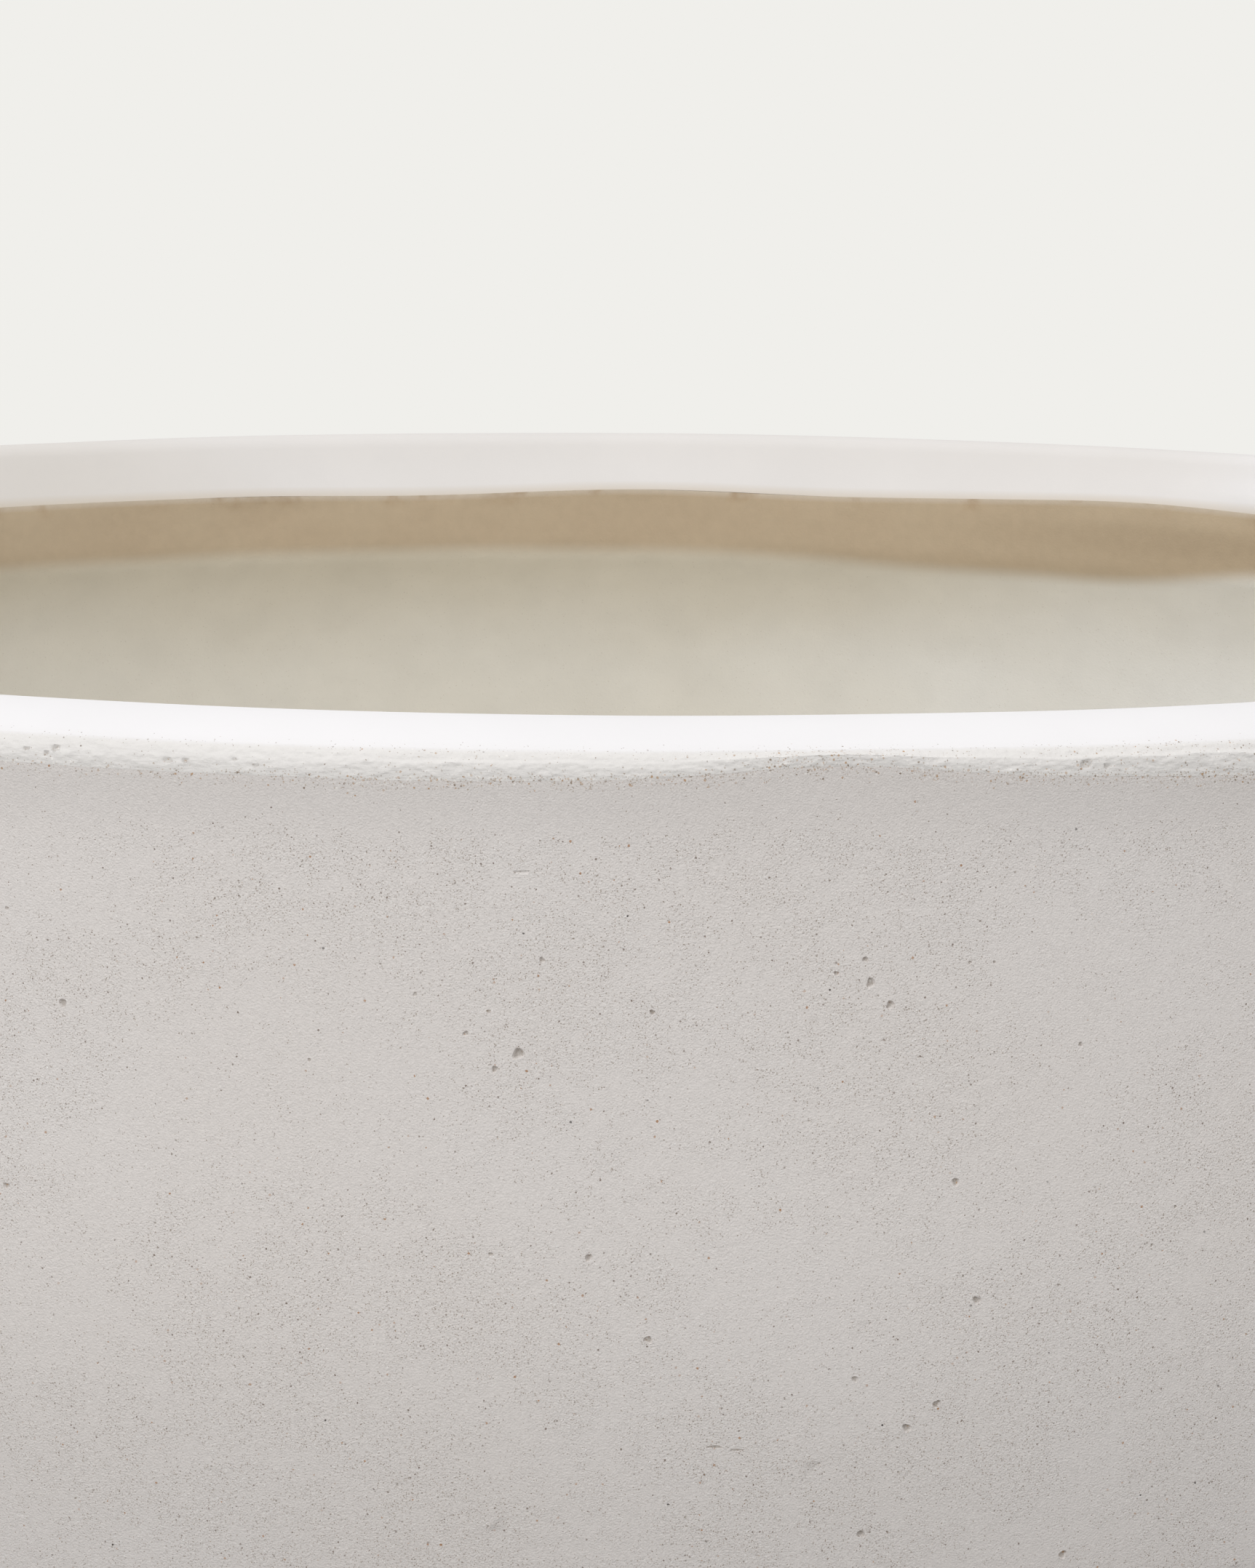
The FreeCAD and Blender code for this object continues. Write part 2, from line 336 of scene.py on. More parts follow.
@dataclass(frozen=True)
class Bowl:
    """The bowl's turned line, which the wall, the lining and the lip share."""

    rim_radius: float
    lip_radius: float
    inner_radius: float
    height: float
    foot_z: float
    edge_z: float
    haunch_z: float
    underside_z: float
    floor_z: float
    sleeve_radius: float
    rim_proud: float = 1.0 * MM
    base_radius: float = 210.0 * MM
    straight_below_lip: float = 2.6 * MM
    heel_radius: float = 42.0 * MM

    @classmethod
    def from_frame(cls) -> "Bowl":
        """Read the bowl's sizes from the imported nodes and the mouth's mount."""
        mounts = {m["name"]: m for m in frame["record"]["mounts"]}
        cap_low, cap_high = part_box("rim_cap")
        coat_low, coat_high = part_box("face_coat")
        lip_low, lip_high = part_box("lip_stiffener")
        return cls(
            rim_radius=cap_high.x,
            lip_radius=mounts["liner_mouth"]["dims"]["r_mm"] * MM,
            inner_radius=lip_high.x,
            height=cap_high.z,
            foot_z=coat_high.z,
            edge_z=cap_low.z,
            haunch_z=lip_low.z,
            underside_z=coat_low.z,
            floor_z=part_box("drain_sleeve")[1].z,
            sleeve_radius=19.0 * MM,
        )

    @property
    def wall_radius(self) -> float:
        """Radius of the straight outer wall under the rim."""
        return self.rim_radius - self.rim_proud

    @property
    def straight_z(self) -> float:
        """Height where the straight wall turns into the belly."""
        return self.haunch_z - self.straight_below_lip

    @property
    def belly(self) -> float:
        """Radius of the belly's curve."""
        run = self.wall_radius - self.base_radius
        fall = self.straight_z - self.underside_z
        return (run**2 + fall**2) / (2.0 * run)

    def line(self, inset: float, floor_z: float, top_z: float, hole: float, pitch: float) -> list[Point]:
        """Section points from the drain hole outwards along the floor and up the wall.

        Args:
            inset: Distance inside the outer wall.
            floor_z: Height of the floor's line.
            top_z: Height where the line ends.
            hole: Radius where the line starts.
            pitch: Longest step between points.

        Returns:
            The line's points in order.
        """
        belly_centre = (self.wall_radius - self.belly, self.straight_z)
        belly = self.belly - inset
        heel = self.heel_radius - inset
        heel_z = floor_z + heel
        reach = math.sqrt((belly - heel) ** 2 - (self.straight_z - heel_z) ** 2)
        heel_centre = (belly_centre[0] + reach, heel_z)
        lean = math.atan2(heel_z - self.straight_z, reach)
        wall = self.wall_radius - inset
        return joined(
            run_points((hole, floor_z), (heel_centre[0], floor_z), 4.0 * pitch),
            arc_points(heel_centre, heel, -QUARTER_TURN, lean, pitch),
            arc_points(belly_centre, belly, lean, 0.0, pitch),
            run_points((wall, self.straight_z), (wall, top_z), pitch),
        )


class Shader:
    """A material's node tree, written as nested calls."""

    def __init__(self, name: str) -> None:
        """Start an empty material.

        Args:
            name: The material's name.
        """
        self.material = bpy.data.materials.new(name)
        self.material.use_nodes = True
        self.nodes = self.material.node_tree.nodes
        self.links = self.material.node_tree.links
        self.nodes.clear()
        self.coords = self.node("ShaderNodeTexCoord").outputs["Object"]

    def node(self, kind: str, inputs: Inputs | None = None, **settings: object) -> bpy.types.Node:
        """Add a node.

        Args:
            kind: The node's type.
            inputs: Sockets to link or plain values, by the input's name or number.
            settings: Properties of the node.

        Returns:
            The new node.
        """
        made = self.nodes.new(kind)
        for key, setting in settings.items():
            setattr(made, key, setting)
        for key, value in (inputs or {}).items():
            if isinstance(value, Socket):
                self.links.new(value, made.inputs[key])
            elif isinstance(value, tuple) and made.inputs[key].type == "RGBA":
                made.inputs[key].default_value = (*value, 1.0)
            else:
                made.inputs[key].default_value = value
        return made

    def stretched(self, scale: Colour) -> Socket:
        """Object coordinates, scaled along each axis."""
        return self.node("ShaderNodeMapping", {"Vector": self.coords, "Scale": scale}).outputs[0]

    def cloud(self, size: float, seed: float, detail: float = 2.0, vector: Socket | None = None) -> Socket:
        """Soft noise about 0.5.

        Args:
            size: Width of its patches.
            seed: Number that sets it apart from others of its size.
            detail: Finer steps on top.
            vector: Coordinates other than the object's own.

        Returns:
            The noise's value.
        """
        inputs = {"Vector": vector or self.coords, "W": seed, "Scale": 1.0 / size, "Detail": detail}
        return self.node("ShaderNodeTexNoise", inputs, noise_dimensions="4D").outputs["Fac"]

    def ragged(self, size: float, reach: float) -> Socket:
        """Object coordinates pushed about at random, so that what is drawn on them has ragged edges.

        Args:
            size: Width of the ragged steps.
            reach: How far they push.

        Returns:
            The new coordinates.
        """
        push = self.node("ShaderNodeTexNoise", {"Vector": self.coords, "Scale": 1.0 / size}).outputs["Color"]
        about_zero = {0: push, 1: NOISE_MIDDLE}
        push = self.node("ShaderNodeVectorMath", about_zero, operation="SUBTRACT").outputs[0]
        push = self.shaded(push, reach)
        return self.node("ShaderNodeVectorMath", {0: self.coords, 1: push}).outputs[0]

    def cells(self, pitch: float, vector: Socket) -> tuple[Socket, Socket]:
        """Distance from the nearest of many scattered points, in pitches, and three lots drawn for it."""
        made = self.node("ShaderNodeTexVoronoi", {"Vector": vector, "Scale": 1.0 / pitch})
        lots = self.node("ShaderNodeTexWhiteNoise", {"Vector": made.outputs["Color"]}, noise_dimensions="3D")
        return made.outputs["Distance"], lots.outputs["Color"]

    def part(self, colour: Socket, channel: int) -> Socket:
        """One channel of a colour."""
        return self.node("ShaderNodeSeparateColor", {0: colour}).outputs[channel]

    def along(self, axis: str) -> Socket:
        """One coordinate of the point that is shaded."""
        return self.node("ShaderNodeSeparateXYZ", {0: self.coords}).outputs[axis]

    def painted(self, name: str) -> Socket:
        """A value that the mesh carries at each corner."""
        return self.node("ShaderNodeAttribute", attribute_name=name).outputs["Fac"]

    def sum(self, kind: str, first: Value, second: Value) -> Socket:
        """One step of arithmetic on two values."""
        return self.node("ShaderNodeMath", {0: first, 1: second}, operation=kind).outputs[0]

    def eased(self, value: Value, low: Value, high: Value, start: Value = 0.0, end: Value = 1.0) -> Socket:
        """Ease a value from start, at low, to end, at high."""
        inputs = {"Value": value, "From Min": low, "From Max": high, "To Min": start, "To Max": end}
        return self.node("ShaderNodeMapRange", inputs, interpolation_type="SMOOTHSTEP").outputs[0]

    def times(self, first: Value, second: Value) -> Socket:
        """Multiply two values."""
        return self.sum("MULTIPLY", first, second)

    def patches(self, kind: Patches, vector: Socket | None = None) -> Socket:
        """Soft noise, eased."""
        cloud = self.cloud(kind.size, kind.seed, kind.detail, vector)
        return self.eased(cloud, kind.low, kind.high, kind.start, kind.end)

    def grit(self) -> Socket:
        """Coordinates for grains of sand, pushed about by less than a grain's width."""
        return self.ragged(GRIT_SIZE, GRIT_REACH)

    def mixed(self, share: Value, first: Value, second: Value) -> Socket:
        """Mix two colours."""
        inputs = {"Factor": share, 6: first, 7: second}
        return self.node("ShaderNodeMix", inputs, data_type="RGBA").outputs[2]

    def shaded(self, colour: Value, by: Value) -> Socket:
        """Multiply a colour by a grey value."""
        return self.node("ShaderNodeVectorMath", {0: colour, "Scale": by}, operation="SCALE").outputs[0]

    def raised(self, height: Value, distance: float, below: Socket | None = None) -> Socket:
        """A bump.

        Args:
            height: Height from 0 to 1.
            distance: Depth of the whole range.
            below: The normal that the bump is laid on.

        Returns:
            The bumped normal.
        """
        inputs: Inputs = {"Height": height, "Distance": distance, "Strength": 1.0}
        if below is not None:
            inputs["Normal"] = below
        return self.node("ShaderNodeBump", inputs).outputs[0]

    def surface(self, colour: Value, roughness: Value, normal: Socket, gloss: float) -> Material:
        """Close the tree with a plain surface.

        Args:
            colour: Base colour.
            roughness: Roughness.
            normal: Bumped normal.
            gloss: Specular level.

        Returns:
            The finished material.
        """
        inputs = {"Base Color": colour, "Roughness": roughness, "Normal": normal, "Specular IOR Level": gloss}
        shader = self.node("ShaderNodeBsdfPrincipled", inputs)
        self.node("ShaderNodeOutputMaterial", {"Surface": shader.outputs[0]})
        return self.material


@dataclass(frozen=True)
class Grain:
    """A sprinkling of sand grains of one size and colour."""

    pitch: float
    radius: float
    tint: Colour
    strength: float
    smallest: float = 0.6
    largest: float = 1.4
    core: float = 0.72
    faintest: float = 0.4

    def sprinkle(self, shader: Shader, colour: Socket, density: Value, vector: Socket) -> Socket:
        """Lay the grains over a colour.

        Args:
            shader: The material that they belong to.
            colour: The colour below.
            density: Share of the grains that show, from 0 to 1.
            vector: Coordinates that give them their ragged shape.

        Returns:
            The colour with grains.
        """
        distance, lots = shader.cells(self.pitch, vector)
        sizes = (self.smallest * self.radius, self.largest * self.radius)
        size = shader.eased(shader.part(lots, 1), 0.0, 1.0, *sizes)
        size = shader.sum("DIVIDE", size, self.pitch)
        spot = shader.eased(distance, shader.times(size, self.core), size, 1.0, 0.0)
        kept = shader.sum("LESS_THAN", shader.part(lots, 0), density)
        depth = shader.eased(shader.part(lots, 2), 0.0, 1.0, self.faintest * self.strength, self.strength)
        share = shader.times(shader.times(spot, kept), depth)
        return shader.mixed(share, colour, self.tint)


FINE_SAND = Grain(0.36 * MM, 0.11 * MM, (0.33, 0.27, 0.22), 0.85)
LIGHT_SAND = Grain(0.50 * MM, 0.13 * MM, (0.93, 0.92, 0.90), 0.50)
DARK_SAND = Grain(0.95 * MM, 0.16 * MM, (0.19, 0.14, 0.11), 0.85)
RUST_SAND = Grain(1.9 * MM, 0.20 * MM, (0.42, 0.21, 0.09), 0.85)
BLACK_SAND = Grain(4.2 * MM, 0.20 * MM, (0.04, 0.033, 0.03), 0.95)
LINING_SAND = Grain(0.70 * MM, 0.15 * MM, (0.46, 0.40, 0.32), 0.30)
EDGE_FINE = Grain(0.38 * MM, 0.15 * MM, (0.42, 0.33, 0.25), 0.75)
EDGE_PALE = Grain(0.62 * MM, 0.20 * MM, (0.90, 0.87, 0.83), 0.70)
EDGE_DARK = Grain(0.64 * MM, 0.17 * MM, (0.22, 0.155, 0.10), 0.85)
EDGE_RUST = Grain(0.76 * MM, 0.20 * MM, (0.46, 0.27, 0.13), 0.85)
EDGE_SAND = (EDGE_FINE, EDGE_PALE, EDGE_DARK, EDGE_RUST)


@dataclass(frozen=True)
class CastMortar:
    """Pale mortar cast against a mould: fine sand that shows in drifts, and a line of grains at the rim;
    painted shade darkens the band under the rim, the wall towards its bottom and the pits.
    """

    name: str = "face_mortar_speckled"
    base: Colour = (0.775, 0.737, 0.712)
    warm: Colour = (0.764, 0.721, 0.690)
    # Painted shade: the wall is darkened towards its bottom, where less light reaches it.
    low_shade_from: float = 365.0 * MM
    low_shade_to: float = 275.0 * MM
    low_shade: float = 0.935
    low_sand: float = 1.35
    # Colour of the pits: a darker mortar tone with painted shade in them.
    hollow: Colour = (0.44, 0.40, 0.355)
    # Painted shade: the clear band just under the rim is darkened as if in the rim's shade.
    under_rim_shade: float = 0.972
    broad: Patches = Patches(38.0 * MM, 1.0, 4.0, 0.38, 0.62, 0.30, 0.95)
    close: Patches = Patches(5.0 * MM, 4.0, 3.0, 0.32, 0.62, 0.30, 1.0)
    tone: Patches = Patches(95.0 * MM, 2.0, 3.0, 0.3, 0.7)
    mottle: Patches = Patches(0.55 * MM, 3.0, 3.0, 0.2, 0.8, 0.95, 1.05)
    coarse_depth: float = 0.06 * MM
    tooth_depth: float = 0.20 * MM
    roughness: float = 0.88
    gloss: float = 0.25

    def make(self) -> Material:
        """Build the material."""
        shader = Shader(self.name)
        grit = shader.grit()
        broad = shader.patches(self.broad)
        close = shader.patches(self.close)
        sand = shader.painted("sand")
        drift = shader.times(shader.times(broad, close), sand)
        low_down = shader.eased(shader.along("Z"), self.low_shade_to, self.low_shade_from, 1.0, 0.0)
        drift = shader.times(drift, shader.eased(low_down, 0.0, 1.0, 1.0, self.low_sand))
        tone = shader.patches(self.tone)
        mottle = shader.patches(self.mottle)
        colour = shader.shaded(shader.mixed(tone, self.base, self.warm), mottle)
        # Painted shade: darken the clear band just under the rim.
        colour = shader.shaded(colour, shader.eased(sand, 0.0, 1.0, self.under_rim_shade, 1.0))
        # Painted shade: darker towards the bottom of the wall.
        colour = shader.shaded(colour, shader.eased(low_down, 0.0, 1.0, 1.0, self.low_shade))
        for grain, least, most in (
            (LIGHT_SAND, 0.02, 0.70),
            (FINE_SAND, 0.03, 1.00),
            (DARK_SAND, 0.02, 0.50),
            (RUST_SAND, 0.06, 0.55),
            (BLACK_SAND, 0.05, 0.50),
        ):
            colour = grain.sprinkle(shader, colour, shader.eased(drift, 0.0, 1.0, least, most), grit)
        # Painted shade in the pits, with their darker mortar tone.
        colour = shader.mixed(shader.painted("hollow"), colour, self.hollow)
        edge = shader.times(shader.painted("grain"), close)
        for grain in EDGE_SAND:
            colour = grain.sprinkle(shader, colour, edge, grit)
        coarse = shader.raised(shader.cloud(2.6 * MM, 5.0, 3.0), self.coarse_depth)
        gritty = shader.times(shader.cloud(0.34 * MM, 6.0, 2.0), shader.eased(drift, 0.0, 0.7, 0.75, 1.1))
        normal = shader.raised(gritty, self.tooth_depth, coarse)
        return shader.surface(colour, self.roughness, normal, self.gloss)


@dataclass(frozen=True)
class FloatedMortar:
    """White mortar floated smooth on top, with a rough, dragged and grainy outer edge; the inward slope is
    darker and warmer, partly its own tone and partly painted shade, and the chips carry painted shade.
    """

    name: str = "rim_mortar_floated"
    white: Colour = (0.825, 0.811, 0.815)
    # Darker, warmer tone of the inward slope: partly its own tone, partly painted shade.
    warm: Colour = (0.700, 0.668, 0.634)
    edge_tone: Colour = (0.752, 0.730, 0.706)
    smear: Colour = (0.56, 0.46, 0.33)
    # Colour of the chips: bare mortar darkened by painted shade.
    bare_and_shade: Colour = (0.40, 0.37, 0.335)
    soft: Patches = Patches(30.0 * MM, 11.0, 3.0, 0.3, 0.7, 0.985, 1.01)
    patchy: Patches = Patches(7.0 * MM, 4.0, 3.0, 0.32, 0.68, 0.35, 1.0)
    drag_stretch: Triple = (0.28, 0.28, 1.0)
    drag_depth: float = 0.30 * MM
    tooth_depth: float = 0.09 * MM
    roughness: float = 0.82
    gloss: float = 0.25

    def make(self) -> Material:
        """Build the material."""
        shader = Shader(self.name)
        grit = shader.grit()
        arris = shader.painted("arris")
        soft = shader.patches(self.soft)
        # Partly painted shade: the inward slope is mixed towards the darker, warmer tone.
        colour = shader.mixed(shader.painted("warm"), self.white, self.warm)
        colour = shader.shaded(shader.mixed(arris, colour, self.edge_tone), soft)
        colour = shader.mixed(shader.painted("smear"), colour, self.smear)
        # Painted shade in the chips, with their bare mortar.
        colour = shader.mixed(shader.painted("bare_and_shade"), colour, self.bare_and_shade)
        specks = shader.painted("specks")
        for grain, share in ((FINE_SAND, 0.16), (DARK_SAND, 0.14), (RUST_SAND, 0.20)):
            colour = grain.sprinkle(shader, colour, shader.times(specks, share), grit)
        edge = shader.times(shader.painted("grain"), shader.patches(self.patchy))
        for grain in EDGE_SAND:
            colour = grain.sprinkle(shader, colour, edge, grit)
        drag = shader.cloud(1.0 * MM, 12.0, 3.0, shader.stretched(self.drag_stretch))
        dragged = shader.raised(shader.times(drag, arris), self.drag_depth)
        tooth = shader.times(shader.cloud(0.5 * MM, 13.0, 2.0), shader.eased(arris, 0.0, 1.0, 0.2, 1.0))
        normal = shader.raised(tooth, self.tooth_depth, dragged)
        return shader.surface(colour, self.roughness, normal, self.gloss)


@dataclass(frozen=True)
class LaidMortar:
    """Grey-green mortar laid and trowelled by hand, sandy and darker just under the lip, partly painted
    shade, and lighter and cooler towards +X, partly painted light.
    """

    name: str = "backing_mortar_trowelled"
    green: Colour = (0.742, 0.708, 0.632)
    # Lighter, cooler tone towards +X: partly its own tone, partly painted light from the left.
    lit_blue: Colour = (0.806, 0.796, 0.764)
    # Sandier, darker tone just under the lip: partly its own tone, partly painted shade under the lip.
    shaded_sandy: Colour = (0.677, 0.619, 0.507)
    lit_cool_side: tuple[float, float] = (0.0 * MM, 190.0 * MM)
    sandy_shade_from: float = 368.0 * MM
    sandy_shade_to: float = 408.0 * MM
    lit_side_sandiness: float = 0.35
    patch: Patches = Patches(80.0 * MM, 21.0, 2.0, 0.35, 0.65, -0.12, 0.12)
    streak: Patches = Patches(60.0 * MM, 22.0, 2.0, 0.2, 0.8, -5.0 * MM, 5.0 * MM)
    streak_stretch: Triple = (0.7, 0.7, 1.6)
    mottle: Patches = Patches(14.0 * MM, 23.0, 4.0, 0.2, 0.8, 0.97, 1.03)
    sweep_stretch: Triple = (0.4, 0.4, 1.0)
    sweep_depth: float = 0.25 * MM
    tooth_depth: float = 0.08 * MM
    sand: float = 0.20
    roughness: float = 0.9
    gloss: float = 0.2

    def lay(self, shader: Shader) -> Socket:
        """The mortar's colour, which runs on over the haunch of the lip.

        Args:
            shader: The material that takes it.

        Returns:
            The colour.
        """
        patch = shader.patches(self.patch)
        # Partly painted light: lighter and cooler towards +X.
        lit_cool = shader.sum("ADD", shader.eased(shader.along("X"), *self.lit_cool_side), patch)
        colour = shader.mixed(lit_cool, self.green, self.lit_blue)
        # Partly painted shade: sandier and darker just under the lip, less so towards +X.
        streak = shader.patches(self.streak, shader.stretched(self.streak_stretch))
        high = shader.sum("ADD", shader.along("Z"), streak)
        warm = shader.eased(high, self.sandy_shade_from, self.sandy_shade_to)
        warm = shader.times(warm, shader.eased(shader.along("X"), *self.lit_cool_side, 1.0, self.lit_side_sandiness))
        colour = shader.mixed(warm, colour, self.shaded_sandy)
        return shader.shaded(colour, shader.patches(self.mottle))

    def sweep(self, shader: Shader) -> Socket:
        """The trowel's soft relief and the mortar's tooth, as a normal."""
        wide = shader.cloud(9.0 * MM, 24.0, 3.0, shader.stretched(self.sweep_stretch))
        swept = shader.raised(wide, self.sweep_depth)
        return shader.raised(shader.cloud(0.6 * MM, 25.0, 2.0), self.tooth_depth, swept)

    def make(self) -> Material:
        """Build the material."""
        shader = Shader(self.name)
        grit = shader.grit()
        colour = self.lay(shader)
        colour = LINING_SAND.sprinkle(shader, colour, self.sand, grit)
        return shader.surface(colour, self.roughness, self.sweep(shader), self.gloss)


@dataclass(frozen=True)
class PressedMortar:
    """Tan sandy mortar pressed in by hand under the rim, which fades into the lining below; its lower face is
    painted darker towards +X as shade.
    """

    lining: LaidMortar
    name: str = "lip_mortar_pressed"
    tan: Colour = (0.495, 0.392, 0.272)
    pale: Colour = (0.516, 0.415, 0.291)
    brown: Colour = (0.42, 0.305, 0.195)
    # Shaded copy of the tan, for painted shade.
    deep: Colour = (0.428, 0.337, 0.230)
    dusted: Colour = (0.680, 0.620, 0.545)
    shaded_side: tuple[float, float] = (70.0 * MM, 170.0 * MM)
    patch: Patches = Patches(35.0 * MM, 31.0, 3.0, 0.3, 0.7)
    stain: Patches = Patches(9.0 * MM, 32.0, 3.0, 0.52, 0.75)
    mottle: Patches = Patches(3.0 * MM, 33.0, 4.0, 0.2, 0.8, 0.97, 1.03)
    sand: float = 0.35
    roughness: float = 0.92
    gloss: float = 0.2

    def make(self) -> Material:
        """Build the material."""
        shader = Shader(self.name)
        grit = shader.grit()
        colour = shader.mixed(shader.patches(self.patch), self.tan, self.pale)
        # Painted shade: the lower face is darkened towards +X.
        painted_shade = shader.times(shader.eased(shader.along("X"), *self.shaded_side), shader.painted("low"))
        colour = shader.mixed(painted_shade, colour, self.deep)
        colour = shader.mixed(shader.painted("feather"), colour, self.dusted)
        stain = shader.times(shader.painted("edge"), shader.patches(self.stain))
        colour = shader.mixed(stain, colour, self.brown)
        colour = shader.shaded(colour, shader.patches(self.mottle))
        colour = shader.mixed(shader.painted("skim"), colour, self.lining.lay(shader))
        colour = LINING_SAND.sprinkle(shader, colour, self.sand, grit)
        return shader.surface(colour, self.roughness, self.lining.sweep(shader), self.gloss)


@dataclass(frozen=True)
class Moulded:
    """Plain moulded rubber or plastic with a fine tooth and faint cloudy wear."""

    name: str
    base: Colour
    worn: Colour
    roughness: float
    gloss: float
    tooth: float
    wear: Patches = Patches(12.0 * MM, 41.0, 4.0, 0.4, 0.75)
    worn_rougher: float = 0.12

    def make(self) -> Material:
        """Build the material."""
        shader = Shader(self.name)
        wear = shader.patches(self.wear)
        colour = shader.mixed(wear, self.base, self.worn)
        rough = shader.eased(wear, 0.0, 1.0, self.roughness, self.roughness + self.worn_rougher)
        normal = shader.raised(shader.cloud(self.tooth, 42.0, 2.0), 0.08 * self.tooth)
        return shader.surface(colour, rough, normal, self.gloss)


@dataclass(frozen=True)
class GlassMat:
    """Chopped glass strands that lie every way, wetted with mortar."""

    name: str = "glass_mat_chopped"
    strand: Colour = (0.80, 0.80, 0.77)
    mortar: Colour = (0.60, 0.58, 0.53)
    roughness: float = 0.6
    gloss: float = 0.4

    def make(self) -> Material:
        """Build the material."""
        shader = Shader(self.name)
        along = shader.cloud(1.2 * MM, 51.0, 2.0, shader.stretched((0.1, 0.1, 1.0)))
        across = shader.cloud(1.2 * MM, 52.0, 2.0, shader.stretched((1.0, 1.0, 0.1)))
        strands = shader.sum("MAXIMUM", along, across)
        colour = shader.mixed(shader.eased(strands, 0.5, 0.65), self.mortar, self.strand)
        return shader.surface(colour, self.roughness, shader.raised(strands, 0.3 * MM), self.gloss)


@dataclass(frozen=True)
class DrawnWire:
    """Drawn steel wire with a thin bloom of rust."""

    name: str = "wire_drawn"
    steel: Colour = (0.42, 0.42, 0.42)
    rust: Colour = (0.26, 0.13, 0.07)
    bloom: Patches = Patches(9.0 * MM, 61.0, 4.0, 0.5, 0.7)
    rust_roughness: float = 0.9
    roughness: float = 0.45
    gloss: float = 0.5

    def make(self) -> Material:
        """Build the material."""
        shader = Shader(self.name)
        bloom = shader.patches(self.bloom)
        colour = shader.mixed(bloom, self.steel, self.rust)
        rough = shader.eased(bloom, 0.0, 1.0, self.roughness, self.rust_roughness)
        drawn = shader.cloud(0.6 * MM, 62.0, 2.0)
        return shader.surface(colour, rough, shader.raised(drawn, 0.05 * MM), self.gloss)


def pits_at(*rows: tuple[float, ...]) -> tuple[Pit, ...]:
    """Pits from rows of a bearing, then the drop, radius and depth in mm, then any stretch."""
    return tuple(Pit(row[0], *(size * MM for size in row[1:4]), *row[4:]) for row in rows)


